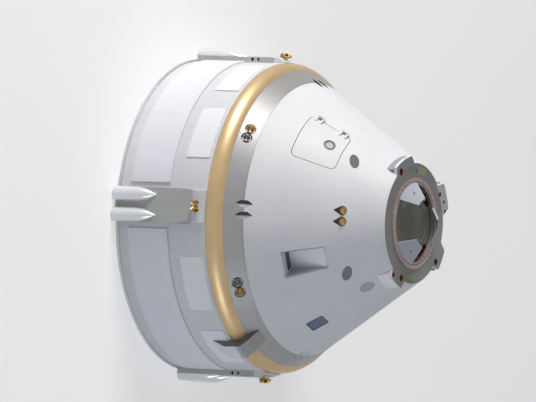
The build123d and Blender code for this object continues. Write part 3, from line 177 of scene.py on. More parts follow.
def start_group(name, inputs, outputs):
    """New node group with named inputs (their start values) and outputs; Color outputs are colours."""
    tree = bpy.data.node_groups.new(name, "ShaderNodeTree")
    for label, value in inputs.items():
        kind = "NodeSocketColor" if isinstance(value, tuple) else "NodeSocketFloat"
        tree.interface.new_socket(label, in_out="INPUT", socket_type=kind).default_value = value
    for label in outputs:
        kind = "NodeSocketColor" if label == "Color" else "NodeSocketFloat"
        tree.interface.new_socket(label, in_out="OUTPUT", socket_type=kind)
    source = tree.nodes.new("NodeGroupInput").outputs
    sink = tree.nodes.new("NodeGroupOutput").inputs
    return tree, source, sink


# %% [markdown]
# ## Shared effects
# Flight hardware is clean but never flat. Paint shows broad clouds from hand spraying, fine orange
# peel and faint streaks along the body; corners lose their paint. The same group serves every
# painted part with its own colours. Corners are found by comparing the true normal with the one a
# small bevel would have.

# %% Effect: sprayed coat
tree, given, result = start_group("sprayed_coat", {
    "Color": rgb(0.8, 0.8, 0.8), "Shade": rgb(0.6, 0.6, 0.6), "Clouds": 0.3, "Grain": 240.0,
    "Streaks": 0.2, "Edge": rgb(0.5, 0.5, 0.5), "Wear": 0.3, "Roughness": 0.5,
}, ("Color", "Roughness", "Height"))
spot = position(tree)
clouds = spread(tree, noise(tree, spot, 1.7, 4.0, 0.55), 0.35, 0.7)
long_way = put(tree, "ShaderNodeMapping", {"Vector": spot, "Scale": (14, 14, 0.9)}).outputs[0]
streaks = spread(tree, noise(tree, long_way, 1.0, 3.0), 0.45, 0.75)
grain = noise(tree, spot, given["Grain"], 2.0)
share = plus(tree, times(tree, clouds, given["Clouds"]),
             times(tree, streaks, given["Streaks"]), clamp=True)
coat = blend(tree, share, given["Color"], given["Shade"])
soft_edge = put(tree, "ShaderNodeBevel", {"Radius": 0.006}, samples=4).outputs[0]
true_face = put(tree, "ShaderNodeNewGeometry").outputs["Normal"]
match = put(tree, "ShaderNodeVectorMath", {0: soft_edge, 1: true_face}, operation="DOT_PRODUCT")
corner = spread(tree, match.outputs["Value"], 0.99, 0.85)
chips = spread(tree, noise(tree, spot, 60.0, 3.0), 0.42, 0.62)
worn = times(tree, times(tree, corner, chips), given["Wear"], clamp=True)
tree.links.new(blend(tree, worn, coat, given["Edge"]), result["Color"])
rough = plus(tree, given["Roughness"], spread(tree, grain, 0.3, 0.7, -0.05, 0.05))
rough = plus(tree, rough, times(tree, clouds, 0.06))
tree.links.new(plus(tree, rough, 0.0, clamp=True), result["Roughness"])
tree.links.new(plus(tree, grain, times(tree, clouds, 0.5)), result["Height"])
sprayed_coat = tree
print("group", tree.name, len(tree.nodes))

# %% [markdown]
# Turned and rolled metal carries fine lines that run round the axis. They follow from noise that is
# sampled by height and radius only, so they close into rings without a seam.

# %% Effect: ring-brushed metal
tree, given, result = start_group("ring_brushed", {
    "Color": rgb(0.6, 0.5, 0.4), "Tarnish": rgb(0.3, 0.25, 0.2), "Amount": 0.3, "Lines": 160.0,
    "Roughness": 0.4,
}, ("Color", "Roughness", "Height"))
spot = position(tree)
parts = split(tree, spot)
radius = radius_of(tree, parts[0], parts[1])
lane = put(tree, "ShaderNodeCombineXYZ", {0: radius, 1: parts[2], 2: 0.0}).outputs[0]
lines = noise(tree, lane, given["Lines"], 3.0, 0.6)
bloom = spread(tree, noise(tree, spot, 2.6, 4.0, 0.6), 0.35, 0.72)
fleck = spread(tree, noise(tree, spot, 34.0, 3.0), 0.5, 0.75)
share = times(tree, plus(tree, bloom, times(tree, fleck, 0.4)), given["Amount"], clamp=True)
share = plus(tree, share, spread(tree, lines, 0.35, 0.65, -0.05, 0.08), clamp=True)
tree.links.new(blend(tree, share, given["Color"], given["Tarnish"]), result["Color"])
rough = plus(tree, given["Roughness"], spread(tree, lines, 0.3, 0.7, -0.05, 0.06))
tree.links.new(plus(tree, rough, times(tree, bloom, 0.05), clamp=True), result["Roughness"])
tree.links.new(lines, result["Height"])
ring_brushed = tree
print("group", tree.name, len(tree.nodes))

# %% [markdown]
# Radiators and blankets repeat a line pattern round the body. The azimuth comes from the arctangent
# of Y over X; a sine of it, sharpened, gives a thin line at every pitch, and a second one on the
# height makes stitched squares of them.

# %% Effect: lines round the body
tree, given, result = start_group("body_lines", {
    "Round": 120.0, "Up": 0.0, "Sharp": 0.94,
}, ("Line",))
spot = position(tree)
parts = split(tree, spot)
angle = sums(tree, "ARCTAN2", parts[1], parts[0])
by_angle = sums(tree, "COSINE", times(tree, angle, given["Round"]))
by_height = sums(tree, "COSINE", times(tree, parts[2], given["Up"]))
has_height = sums(tree, "GREATER_THAN", given["Up"], 0.001)
by_height = sums(tree, "SUBTRACT", times(tree, plus(tree, by_height, 1.0), has_height), 1.0)
strongest = sums(tree, "MAXIMUM", by_angle, by_height)
tree.links.new(spread(tree, strongest, given["Sharp"], 1.0), result["Line"])
body_lines = tree
print("group", tree.name, len(tree.nodes))

# %% [markdown]
# Seat cloth and straps are woven. Two sine waves across each other, on the piece's own UV map, lift
# the threads, and a little noise keeps them from looking printed.

# %% Effect: weave
tree, given, result = start_group("weave", {
    "Color": rgb(0.2, 0.24, 0.32), "Thread": rgb(0.3, 0.34, 0.42), "Count": 900.0,
}, ("Color", "Height"))
flat = position(tree, "UV")
parts = split(tree, flat)
warp = sums(tree, "SINE", times(tree, parts[0], given["Count"]))
weft = sums(tree, "SINE", times(tree, parts[1], given["Count"]))
cross = times(tree, warp, weft)
slub = noise(tree, flat, 40.0, 3.0)
height = plus(tree, times(tree, cross, 0.5), slub)
share = plus(tree, times(tree, cross, 0.3), spread(tree, slub, 0.3, 0.7), clamp=True)
tree.links.new(blend(tree, share, given["Color"], given["Thread"]), result["Color"])
tree.links.new(height, result["Height"])
weave = tree
print("group", tree.name, len(tree.nodes))

# %% [markdown]
# ## Finishes
# One small function starts a material with its own Principled shader. What is the same all over
# (metallic, coat, glass) is set on that shader; only what varies over the surface is linked. The
# colours were set so that they match the photograph under the plain studio light below.

# %% Finish maker
def new_material(name):
    """Material with its node tree and its Principled shader."""
    material = bpy.data.materials.new(name)
    material.use_nodes = True
    return material, material.node_tree, material.node_tree.nodes["Principled BSDF"]


def finish_of(name, source, bump, distance=0.001, metallic=0.0, **fixed):
    """Material whose colour, roughness and bump come from the outputs that source(tree) returns."""
    material, tree, shader = new_material(name)
    outputs = source(tree)
    tree.links.new(outputs["Color"], shader.inputs["Base Color"])
    if outputs.get("Roughness"):
        tree.links.new(outputs["Roughness"], shader.inputs["Roughness"])
    settings = {"Strength": bump, "Distance": distance, "Height": outputs["Height"]}
    tree.links.new(put(tree, "ShaderNodeBump", settings).outputs[0], shader.inputs["Normal"])
    shader.inputs["Metallic"].default_value = metallic
    for label, value in fixed.items():
        shader.inputs[label.replace("_", " ")].default_value = value
    return material


def from_row(group, labels, row):
    """Source: a shared effect whose inputs take the values of a table's row in turn."""
    values = {
        label: rgb(*value) if isinstance(value, tuple) else value
        for label, value in zip(labels, row)
    }

    def build(tree):
        return put(tree, "ShaderNodeGroup", values, node_tree=group).outputs
    return build


# %% Painted and metal finishes
PAINT_INPUTS = ("Color", "Shade", "Clouds", "Streaks", "Edge", "Wear", "Roughness")
PAINTS = {
    # name: colour, shade, clouds, streaks, edge, wear, roughness, metallic
    "white_paint": ((0.83, 0.83, 0.86), (0.74, 0.75, 0.80), 0.5, 0.25, (0.6, 0.6, 0.6), 0.15, 0.50, 0.0),
    # side panels: white paint whose brighter, bluish tone is a painted reflection of bluish light
    "panel_white": ((0.93, 0.94, 0.98), (0.86, 0.88, 0.94), 0.4, 0.25, (0.6, 0.6, 0.6), 0.2, 0.42, 0.0),
    "hatch_white": ((0.80, 0.80, 0.82), (0.72, 0.73, 0.77), 0.4, 0.2, (0.5, 0.5, 0.5), 0.4, 0.45, 0.0),
    "pod_paint": ((0.50, 0.51, 0.50), (0.42, 0.43, 0.42), 0.5, 0.3, (0.7, 0.7, 0.7), 0.5, 0.50, 0.0),
    "fairing_gloss": ((0.84, 0.84, 0.87), (0.76, 0.77, 0.82), 0.4, 0.3, (0.6, 0.6, 0.6), 0.1, 0.16, 0.35),
    "petal_paint": ((0.53, 0.55, 0.63), (0.44, 0.46, 0.54), 0.5, 0.1, (0.7, 0.72, 0.76), 0.5, 0.42, 0.0),
    "hatch_olive": ((0.23, 0.235, 0.20), (0.17, 0.175, 0.155), 0.6, 0.1, (0.45, 0.45, 0.42), 0.5, 0.60, 0.0),
    "port_grey": ((0.24, 0.25, 0.28), (0.18, 0.19, 0.22), 0.5, 0.1, (0.5, 0.5, 0.52), 0.5, 0.50, 0.0),
    "fairing_grey": ((0.34, 0.35, 0.40), (0.28, 0.29, 0.33), 0.5, 0.2, (0.5, 0.5, 0.55), 0.3, 0.50, 0.0),
    "window_grey": ((0.46, 0.47, 0.47), (0.38, 0.39, 0.38), 0.5, 0.1, (0.7, 0.7, 0.7), 0.4, 0.50, 0.0),
    "dark_metal": ((0.075, 0.075, 0.08), (0.04, 0.04, 0.045), 0.6, 0.1, (0.35, 0.34, 0.33), 0.6, 0.50, 0.5),
    "floor_grey": ((0.30, 0.31, 0.33), (0.24, 0.25, 0.27), 0.6, 0.0, (0.5, 0.5, 0.5), 0.4, 0.60, 0.0),
    "cup_red": ((0.16, 0.035, 0.025), (0.09, 0.02, 0.015), 0.7, 0.0, (0.2, 0.06, 0.05), 0.3, 0.60, 0.0),
    "deck_base": ((0.26, 0.265, 0.235), (0.19, 0.195, 0.17), 0.6, 0.0, (0.5, 0.5, 0.47), 0.4, 0.58, 0.0),
    "plate_base": ((0.30, 0.295, 0.285), (0.24, 0.235, 0.225), 0.6, 0.0, (0.55, 0.55, 0.53), 0.5, 0.55, 0.0),
    "rubber": ((0.035, 0.035, 0.037), (0.02, 0.02, 0.022), 0.5, 0.0, (0.06, 0.06, 0.06), 0.3, 0.70, 0.0),
}
METAL_INPUTS = ("Color", "Tarnish", "Amount", "Lines", "Roughness")
METALS = {
    # name: colour, tarnish, amount, lines, roughness, metallic
    "shoulder_gold": ((0.63, 0.455, 0.245), (0.46, 0.325, 0.175), 0.45, 150.0, 0.36, 0.62),
    "band_grey": ((0.37, 0.365, 0.365), (0.29, 0.287, 0.287), 0.45, 150.0, 0.42, 0.55),
    "nozzle_gold": ((0.62, 0.46, 0.21), (0.36, 0.25, 0.11), 0.6, 240.0, 0.34, 0.9),
    "bare_metal": ((0.60, 0.61, 0.62), (0.42, 0.42, 0.43), 0.5, 200.0, 0.42, 0.8),
    "copper_ring": ((0.42, 0.34, 0.31), (0.27, 0.21, 0.19), 0.6, 260.0, 0.42, 0.6),
    "hook_white": ((0.72, 0.74, 0.78), (0.52, 0.54, 0.58), 0.4, 200.0, 0.36, 0.3),
    "steel": ((0.52, 0.53, 0.54), (0.36, 0.36, 0.37), 0.5, 240.0, 0.34, 0.9),
}
finishes, bases = {}, {}
for group, labels, table, bump, distance in (
    (sprayed_coat, PAINT_INPUTS, PAINTS, 0.12, 0.0006),
    (ring_brushed, METAL_INPUTS, METALS, 0.10, 0.0005),
):
    for name, row in table.items():
        bases[name] = from_row(group, labels, row), row[-1]
        finishes[name] = finish_of(name, bases[name][0], bump, distance, row[-1])
finishes["fairing_gloss"].node_tree.nodes["Principled BSDF"].inputs["Coat Weight"].default_value = 0.8
print("finishes so far", len(finishes))

# %% [markdown]
# The drum and its radiators wear a white paint like the cone's, with fine coolant lines pressed into
# the radiators. The bulkhead, hidden under the vehicle, has a quilted lining. Some nodes get areas of
# other colours, written as limits on simple measures of a point. The docking plate's patches are its
# own paint. On the umbilical fairing, the scoops, the wedge window's recess, the lobe fairings and the
# docking hatch, some areas are painted shade or painted light: a shaded side face, shaded hollows and
# walls, lit walls, a brighter lit white and a sunlit patch.

# %% Finishes with a pattern
def lined(paint, round_, up, sharp, depth, line_colour):
    """Source: sprayed coat with lines round the body, tinted and pressed into the bump."""
    def build(tree):
        base = from_row(sprayed_coat, PAINT_INPUTS, paint)(tree)
        settings = {"Round": round_, "Up": up, "Sharp": sharp}
        mark = put(tree, "ShaderNodeGroup", settings, node_tree=body_lines).outputs[0]
        colour = blend(tree, times(tree, mark, 0.5), base["Color"], rgb(*line_colour))
        height = sums(tree, "SUBTRACT", base["Height"], times(tree, mark, depth))
        return {"Color": colour, "Roughness": base["Roughness"], "Height": height}
    return build


LINED = {
    # name: paint row, lines round and up, sharpness, depth, line colour, bump, bump distance
    "drum_paint": (((0.77, 0.77, 0.80), (0.67, 0.68, 0.72), 0.5, 0.35, (0.5, 0.5, 0.5), 0.3, 0.48),
                   88.0, 0.0, 0.9985, 2.0, (0.62, 0.62, 0.65), 0.15, 0.001),
    "radiator_paint": (((0.86, 0.87, 0.93), (0.80, 0.81, 0.88), 0.4, 0.25, (0.45, 0.45, 0.47), 0.5, 0.38),
                       200.0, 0.0, 0.93, 1.0, (0.82, 0.84, 0.90), 0.15, 0.001),
    "quilted_lining": (((0.50, 0.49, 0.46), (0.38, 0.37, 0.35), 0.6, 0.3, (0.6, 0.6, 0.58), 0.2, 0.62),
                       72.0, 32.0, 0.97, 6.0, (0.30, 0.29, 0.27), 0.5, 0.003),
}
for name, (*row, bump, distance) in LINED.items():
    finishes[name] = finish_of(name, lined(*row), bump, distance)


def measures(tree):
    """Where a point lies: height, radius, azimuth in degrees, the same within its quarter turn, its
    cosine without the sign, and the lift off the cone's skin."""
    x, y, z = split(tree, position(tree))
    r = radius_of(tree, x, y)
    out = sums(tree, "SUBTRACT", r, BAND_FOOT_R)
    above = sums(tree, "SUBTRACT", z, BAND_FOOT_Z)
    angle = sums(tree, "ARCTAN2", y, x)
    quarter = sums(tree, "WRAP", angle, np.pi / 4, -np.pi / 4)
    return {
        "z": z, "r": r,
        "az": times(tree, angle, 180 / np.pi),
        "quarter_az": times(tree, quarter, 180 / np.pi),
        "cos_az": sums(tree, "DIVIDE", sums(tree, "ABSOLUTE", x), r),
        "lift": plus(tree, times(tree, above, float(np.sin(CONE_LEAN))),
                     times(tree, out, float(np.cos(CONE_LEAN)))),
    }


def within(tree, value, low, high, soft):
    """1 between two limits and 0 outside them, with soft edges."""
    return times(tree, spread(tree, value, low - soft, low + soft),
                 spread(tree, value, high + soft, high - soft))


def areas_over(base, areas):
    """Source: another source with areas painted over it, each a colour, a strength and its limits."""
    def build(tree):
        outputs = base(tree)
        at, colour = measures(tree), outputs["Color"]
        for paint, strength, limits in areas:
            share = strength
            for name, (low, high, soft) in limits.items():
                share = times(tree, share, within(tree, at[name], low, high, soft))
            colour = blend(tree, share, colour, rgb(*paint))
        return {"Color": colour, "Roughness": outputs["Roughness"], "Height": outputs["Height"]}
    return build


FAR = 99.0
EVERYWHERE = {"r": (-FAR, FAR, 0.01)}
# the second colour on the next line is painted shade, for the dark inside of a side nozzle's opening
WHITE, NOZZLE_HOLE_SHADE, RED = (0.80, 0.80, 0.82), (0.055, 0.056, 0.06), (0.11, 0.03, 0.022)
# the first colour on the next line is painted light for the scoops' lit walls; the third is painted shade
# for the wedge recess's walls
SCOOP_PAINTED_LIGHT, PLATE_GREEN, WALL_PAINTED_SHADE = (0.92, 0.93, 0.96), (0.40, 0.42, 0.22), (0.27, 0.29, 0.26)
INSIDE = (-FAR, -0.0015, 0.0005)
WEDGE_LEFT, WEDGE_RIGHT = -69.98, -57.12
MASKED = {
    # finish: base, bump, areas of (colour, strength, {measure: (from, to, soft edge)})
    # painted shade: the side face below azimuth -34.7 is dark as if in shade; from 1.6 m up the fairing is
    # grey
    "umbilical_paint": ("white_paint", 0.12, [
        ((0.44, 0.44, 0.45), 1.0, {"z": (1.600, FAR, 0.004)}),
        ((0.12, 0.12, 0.13), 0.9, {"az": (-FAR, -34.7, 0.05)}),
    ]),
    "pod_coat": ("pod_paint", 0.12, [((0.72, 0.72, 0.75), 1.0, {"z": (1.300, FAR, 0.003)})]),
    "panel_coat": ("white_paint", 0.12, [((0.11, 0.11, 0.12), 1.0, {"lift": (-FAR, -0.004, 0.001)})]),
    # painted shade and light: each scoop is near black as if its pocket lies in shade, and its half on the
    # higher-azimuth side is pale as a lit wall
    "scoop_coat": ("port_grey", 0.12, [
        ((0.085, 0.09, 0.11), 1.0, EVERYWHERE),
        (SCOOP_PAINTED_LIGHT, 0.95, {"quarter_az": (-2.30, -1.0, 0.05)}),
        (SCOOP_PAINTED_LIGHT, 0.95, {"quarter_az": (2.50, 3.8, 0.05)}),
    ]),
    # painted shade: the side nozzles below 1.0 m are near black, for the shade inside their openings
    "side_jet_gold": ("nozzle_gold", 0.10, [(NOZZLE_HOLE_SHADE, 0.85, {"z": (0.0, 1.000, 0.003)})]),
    "band_jets": ("nozzle_gold", 0.10, [
        ((0.40, 0.29, 0.13), 1.0, EVERYWHERE),
        ((0.26, 0.26, 0.265), 1.0, {"cos_az": (0.0, 0.536, 0.001)}),
    ]),
    "port_paint": ("port_grey", 0.12, [
        ((0.50, 0.51, 0.53), 1.0, {"az": (-39.0, -20.0, 0.2)}),
        ((0.075, 0.077, 0.085), 1.0, {"az": (-140.0, -100.0, 0.2)}),
    ]),
    # the fairings between azimuth -42 and -9 are white paint, made brighter still as painted light
    "lobe_paint": ("fairing_grey", 0.12, [((0.93, 0.94, 0.97), 1.0, {"az": (-42.0, -9.0, 0.2)})]),
    # painted light and shade: inside the recess the floor is near white as if lit, and the walls at either
    # end are dark green as if shaded
    "wedge_paint": ("window_grey", 0.12, [
        ((0.90, 0.92, 0.97), 1.0, {"lift": INSIDE, "az": (WEDGE_LEFT, WEDGE_RIGHT, 0.02)}),
        (WALL_PAINTED_SHADE, 1.0, {"lift": INSIDE, "az": (-FAR, WEDGE_LEFT, 0.02)}),
        (WALL_PAINTED_SHADE, 1.0, {"lift": INSIDE, "az": (WEDGE_RIGHT, 0.0, 0.02)}),
    ]),
    "deck_paint": ("deck_base", 0.15, [(RED, 1.0, {"z": (-FAR, 3.633, 0.002)})]),
    "adapter_paint": ("plate_base", 0.15, [
        ((0.44, 0.435, 0.43), 0.8, {"az": (14.0, 100.0, 8.0)}),
        ((0.66, 0.68, 0.66), 1.0, {"az": (98.0, 136.0, 1.5), "r": (0.850, FAR, 0.008)}),
        ((0.34, 0.345, 0.38), 0.6, {"az": (-178.0, -131.0, 2.0), "r": (0.850, FAR, 0.008)}),
        (PLATE_GREEN, 0.8, {"az": (161.0, 178.0, 1.0), "r": (0.740, 0.838, 0.006)}),
        ((0.33, 0.46, 0.22), 0.8, {"az": (-8.0, 18.0, 1.0), "r": (0.745, 0.835, 0.006)}),
        (WHITE, 1.0, {"z": (-FAR, 3.6865, 0.0004), "r": (0.860, FAR, 0.001)}),
    ]),
    # painted light: a paler lavender patch on the olive hatch stands for a sunlit part of it
    "hatch_coat": ("hatch_olive", 0.12, [
        ((0.42, 0.41, 0.47), 0.8, {"az": (-172.0, -128.0, 3.0), "r": (0.300, 0.415, 0.010)}),
    ]),
}
for name, (base, bump, areas) in MASKED.items():
    source, metallic = bases[base]
    finishes[name] = finish_of(name, areas_over(source, areas), bump, metallic=metallic)
print("patterned finishes added")

# %% [markdown]
# Glass keeps a plain metallic and transmission value. The blue pane is tinted in its colour; smudges
# show in the roughness and, faintly, in the colour. The window of the side hatch is pale: a painted
# reflection, its bright centre put into its colour.

# %% Glass finishes
def glass_of(name, tint, rough_low, rough_high, through):
    """Tinted glass whose roughness varies with faint smudges."""
    material, tree, shader = new_material(name)
    smudge = noise(tree, position(tree), 9.0, 4.0, 0.6)
    colour = blend(tree, spread(tree, smudge, 0.3, 0.8), rgb(*tint), rgb(*[0.85 * c for c in tint]))
    tree.links.new(colour, shader.inputs["Base Color"])
    tree.links.new(spread(tree, smudge, 0.3, 0.8, rough_low, rough_high), shader.inputs["Roughness"])
    shader.inputs["Transmission Weight"].default_value = through
    shader.inputs["IOR"].default_value = 1.45
    return material


GLASSES = {
    # name: tint, roughness from and to, transmission
    "blue_glass": ((0.16, 0.22, 0.38), 0.05, 0.15, 0.25),
    # the hatch window's pale tint is a painted reflection on dark glass
    "dark_glass": ((0.74, 0.76, 0.82), 0.05, 0.16, 0.15),
    "pane_teal": ((0.05, 0.085, 0.095), 0.05, 0.15, 0.0),
    "screen_glass": ((0.02, 0.03, 0.04), 0.08, 0.2, 0.0),
}
for name, row in GLASSES.items():
    finishes[name] = glass_of(name, *row)


def cloth(name, colour, thread, count, bump):
    """Woven cloth with sheen on its own shader."""
    def build(tree):
        settings = {"Color": rgb(*colour), "Thread": rgb(*thread), "Count": count}
        outputs = put(tree, "ShaderNodeGroup", settings, node_tree=weave).outputs
        return {"Color": outputs["Color"], "Roughness": None, "Height": outputs["Height"]}
    return finish_of(name, build, bump, Roughness=0.85, Sheen_Weight=0.3)


CLOTHS = {
    # name: colour, thread, thread count, bump
    "seat_cloth": ((0.10, 0.13, 0.20), (0.17, 0.21, 0.30), 1500.0, 0.5),
    "strap_cloth": ((0.30, 0.30, 0.29), (0.42, 0.42, 0.40), 2600.0, 0.5),
    "piping": ((0.28, 0.30, 0.34), (0.36, 0.38, 0.42), 900.0, 0.4),
}
for name, row in CLOTHS.items():
    finishes[name] = cloth(name, *row)
print("finishes", len(finishes))

# %% [markdown]
# ## Dress the CAD nodes
# Most nodes wear the finish that the record names for them. A few get a closer match: the side
# panels are white with a bluish painted reflection that makes them brighter than the drum, the
# bulkhead is quilted, the hooks are pale.

# %% Assign finishes
CLOSER = {
    "side_panels": "panel_white", "side_hatch": "hatch_white", "hatch_hinges": "white_paint",
    "scoops": "scoop_coat",
    "umbilical_fairing": "umbilical_paint", "side_jets": "side_jet_gold", "band_thrusters": "band_jets",
    "port_covers": "port_paint", "lobe_fairings": "lobe_paint", "wedge_window": "wedge_paint",
    "docking_deck": "deck_paint", "docking_hooks": "hook_white", "docking_hatch": "hatch_coat",
    "aft_bulkhead": "quilted_lining", "dock_hinge": "steel",
    **{f"pod_base_{k}": "pod_coat" for k in (1, 2, 3, 4)},
    **{node: "panel_coat" for node in frame["nodes"] if node.startswith("cone_panel")},
}
SLOT_OF = {part["node"]: part["material_slot"] for part in frame["record"]["subparts"]}
for node, solid in frame["nodes"].items():
    name = CLOSER.get(node) or (SLOT_OF[node] if SLOT_OF[node] in finishes else "white_paint")
    solid.data.materials.clear()
    solid.data.materials.append(finishes[name])
print("dressed", len(frame["nodes"]), "nodes")

# %% [markdown]
# ## Light and floor
# One big soft lamp stands where the photograph's sun is, low and to the upper left of the picture;
# weaker ones fill from the camera's side and, a little blue, from the lower side. The world gives an
# even level to the rest, and a small lamp lights the cabin for when a hatch stands open. What the
# camera and polished surfaces see of the surroundings is plain white, through the Light Path node, so
# the background is pale without more light on the vehicle.

# %% Lamps, world and floor
def lamp(name, direction, distance, size, watts, colour):
    """Square soft lamp in a direction from the vehicle's middle, turned towards it."""
    light = bpy.data.lights.new(name, "AREA")
    light.shape, light.size, light.energy, light.color = "SQUARE", size, watts, colour
    stand = new_object(name, light)
    way = Vector(direction).normalized()
    stand.location = Vector((0, 0, 1.8)) + way * distance
    stand.rotation_euler = way.to_track_quat("Z", "Y").to_euler()
    stand.visible_camera = False


LAMPS = {
    # name: direction, distance, size, watts, colour
    "sun_side": ((-0.93, -0.28, 0.20), 40.0, 15.0, 13600.0, (1.0, 0.985, 0.96)),
    "camera_fill": ((0.10, -0.85, 0.55), 36.0, 20.0, 120.0, (1, 1, 1)),
    "shade_fill": ((0.80, -0.50, 0.10), 36.0, 20.0, 3600.0, (0.82, 0.90, 1.0)),
}
for name, row in LAMPS.items():
    lamp(name, *row)

cabin_light = bpy.data.lights.new("cabin_lamp", "POINT")
cabin_light.energy, cabin_light.shadow_soft_size, cabin_light.color = 45.0, 0.15, (1.0, 0.96, 0.90)
new_object("cabin_lamp", cabin_light).location = (0.0, 0.0, 2.95)

world = bpy.data.worlds.new("studio")
bpy.context.scene.world = world
world.use_nodes = True
tree = world.node_tree
back = tree.nodes["Background"]
path = put(tree, "ShaderNodeLightPath").outputs
seen = sums(tree, "MAXIMUM", path["Is Camera Ray"], path["Is Transmission Ray"])
level = sums(tree, "MAXIMUM", seen, times(tree, path["Is Glossy Ray"], 0.75))
tree.links.new(sums(tree, "MAXIMUM", level, 0.20), back.inputs["Strength"])
back.inputs["Color"].default_value = rgb(0.97, 0.98, 1.0)

ground = bpy.data.meshes.new("floor")
reach = 60.0
corners = [(sx * reach, sy * reach, 0) for sx, sy in ((-1, -1), (1, -1), (1, 1), (-1, 1))]
ground.from_pydata(corners, [], [(0, 1, 2, 3)])
floor = new_object("floor", ground)
pale, tree, _ = new_material("floor")
tree.nodes.clear()
tone = blend(tree, noise(tree, position(tree), 0.6, 3.0), rgb(0.74, 0.74, 0.75), rgb(0.78, 0.78, 0.78))
matt = put(tree, "ShaderNodeBsdfDiffuse", {"Color": tone})
path = put(tree, "ShaderNodeLightPath").outputs
glow = times(tree, sums(tree, "MAXIMUM", path["Is Camera Ray"], path["Is Glossy Ray"]), 0.45)
shine = put(tree, "ShaderNodeEmission", {"Strength": glow})
both = put(tree, "ShaderNodeAddShader", {0: matt.outputs[0], 1: shine.outputs[0]})
put(tree, "ShaderNodeOutputMaterial", {"Surface": both.outputs[0]})
ground.materials.append(pale)
bpy.context.scene.view_settings.view_transform = "Standard"
print("lamps, world and floor are up")

# %% [markdown]
# ## Shapes from numbers
# Every added piece is a surface worked out with numpy and handed to Blender as whole arrays. Most
# come from three makers: a profile spun round an axis, a profile carried along a path, and a small
# shape repeated at many places.

# %% Mesh makers
def sheet_faces(rows, columns):
    """Quads of a grid whose rows are closed loops: row i, column j is point i * columns + j."""
    i, j = np.arange(rows - 1)[:, None], np.arange(columns)[None, :]
    k = (j + 1) % columns
    quads = [i * columns + j, i * columns + k, (i + 1) * columns + k, (i + 1) * columns + j]
    return np.stack(quads, axis=-1).reshape(-1, 4).tolist()


def looped_faces(rows, columns):
    """Quads of a grid that closes both ways, like a doughnut."""
    i, j = np.arange(rows)[:, None], np.arange(columns)[None, :]
    n, k = (i + 1) % rows, (j + 1) % columns
    quads = [i * columns + j, i * columns + k, n * columns + k, n * columns + j]
    return np.stack(quads, axis=-1).reshape(-1, 4).tolist()


def caps(rows, columns):
    """The two end faces of a grid whose rows are closed loops."""
    return [list(range(columns))[::-1], list(range((rows - 1) * columns, rows * columns))]


def turned(r, a, z):
    """Points (r cos a, r sin a, z): radius r, angle a round the Z axis, height z."""
    return np.stack([r * np.cos(a), r * np.sin(a), z + 0 * a], axis=-1)


def spun(profile, count):
    """Closed shape: the profile's (r, z) points spun round Z, with a flat cap at each end."""
    r, z = np.array(profile, float).T
    points = turned(r[:, None], np.linspace(0, 2 * np.pi, count, endpoint=False), z[:, None])
    return points.reshape(-1, 3), sheet_faces(len(r), count) + caps(len(r), count)


def ringed(profile, count):
    """Ring with a closed (r, z) outline spun round Z: the last row of points joins the first."""
    return spun(profile, count)[0], looped_faces(len(profile), count)


def along_loop(path):
    """Directions of a closed path at its points."""
    return unit(np.roll(path, -1, axis=0) - np.roll(path, 1, axis=0))


def carried(path, outline, closed=False):
    """Tube: at path point p_i the outline's (u, v) points lie at p_i + u n_i + v b_i.

    n and b are square to the path's direction, turned as little as possible from point to point."""
    path, outline = np.array(path, float), np.array(outline, float)
    along = along_loop(path) if closed else unit(np.gradient(path, axis=0))
    up = np.array([0, 0, 1.0]) if abs(along[:, 2]).max() < 0.95 else np.array([0.31, 0.95, 0.02])
    n = unit(np.cross(along, up))
    b = np.cross(n, along)
    points = path[:, None] + outline[None, :, :1] * n[:, None] + outline[None, :, 1:] * b[:, None]
    rows, columns = len(path), len(outline)
    if closed:
        return points.reshape(-1, 3), looped_faces(rows, columns)
    return points.reshape(-1, 3), sheet_faces(rows, columns) + caps(rows, columns)


def round_outline(radius, count):
    """(u, v) points of a circle."""
    return turned(radius, np.linspace(0, 2 * np.pi, count, endpoint=False), 0)[:, :2]


def repeated(shape, origins, axes):
    """Copies of a shape: copy k's points are origin_k + x X_k + y Y_k + z Z_k."""
    points, faces = shape
    copies = origins[:, None] + np.einsum("pi,kij->kpj", points, axes)
    sizes = {}
    for face in faces:
        sizes.setdefault(len(face), []).append(face)
    shifted = []
    for group in sizes.values():
        moved = np.array(group)[None] + np.arange(len(origins))[:, None, None] * len(points)
        shifted += moved.reshape(-1, len(group[0])).tolist()
    return copies.reshape(-1, 3), shifted


def joined(*shapes):
    """Several shapes as one list of points and faces."""
    points, faces, start = [], [], 0
    for shape_points, shape_faces in shapes:
        points.append(shape_points)
        faces += [[start + index for index in face] for face in shape_faces]
        start += len(shape_points)
    return np.concatenate(points), faces


def outwards(mesh):
    """Turn every closed part's faces outwards."""
    work = bmesh.new()
    work.from_mesh(mesh)
    bmesh.ops.remove_doubles(work, verts=work.verts, dist=1e-6)
    bmesh.ops.recalc_face_normals(work, faces=work.faces)
    work.to_mesh(mesh)
    work.free()


def add_piece(name, shape, finish, body="capsule", smooth=True, angle=35.0):
    """Mesh object from a shape, with its finish and the body it rides on."""
    points, faces = shape
    mesh = bpy.data.meshes.new(name)
    mesh.from_pydata(points.tolist(), [], faces)
    mesh.materials.append(finishes[finish])
    mesh.validate()
    piece = new_object(name, mesh)
    outwards(mesh)
    if smooth:
        mesh.shade_smooth()
        mesh.set_sharp_from_angle(angle=np.radians(angle))
    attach(piece, body)
    print(f"{name}: {len(mesh.vertices)} points, {len(mesh.polygons)} faces")
    return piece


# %% [markdown]
# Places on the vehicle are given the way a builder would: an azimuth and a height on the cone, or
# an azimuth, radius and height on the drum. Each place carries three axes: along the azimuth, up the
# surface and out of it. The cone's slope follows from its two rims.

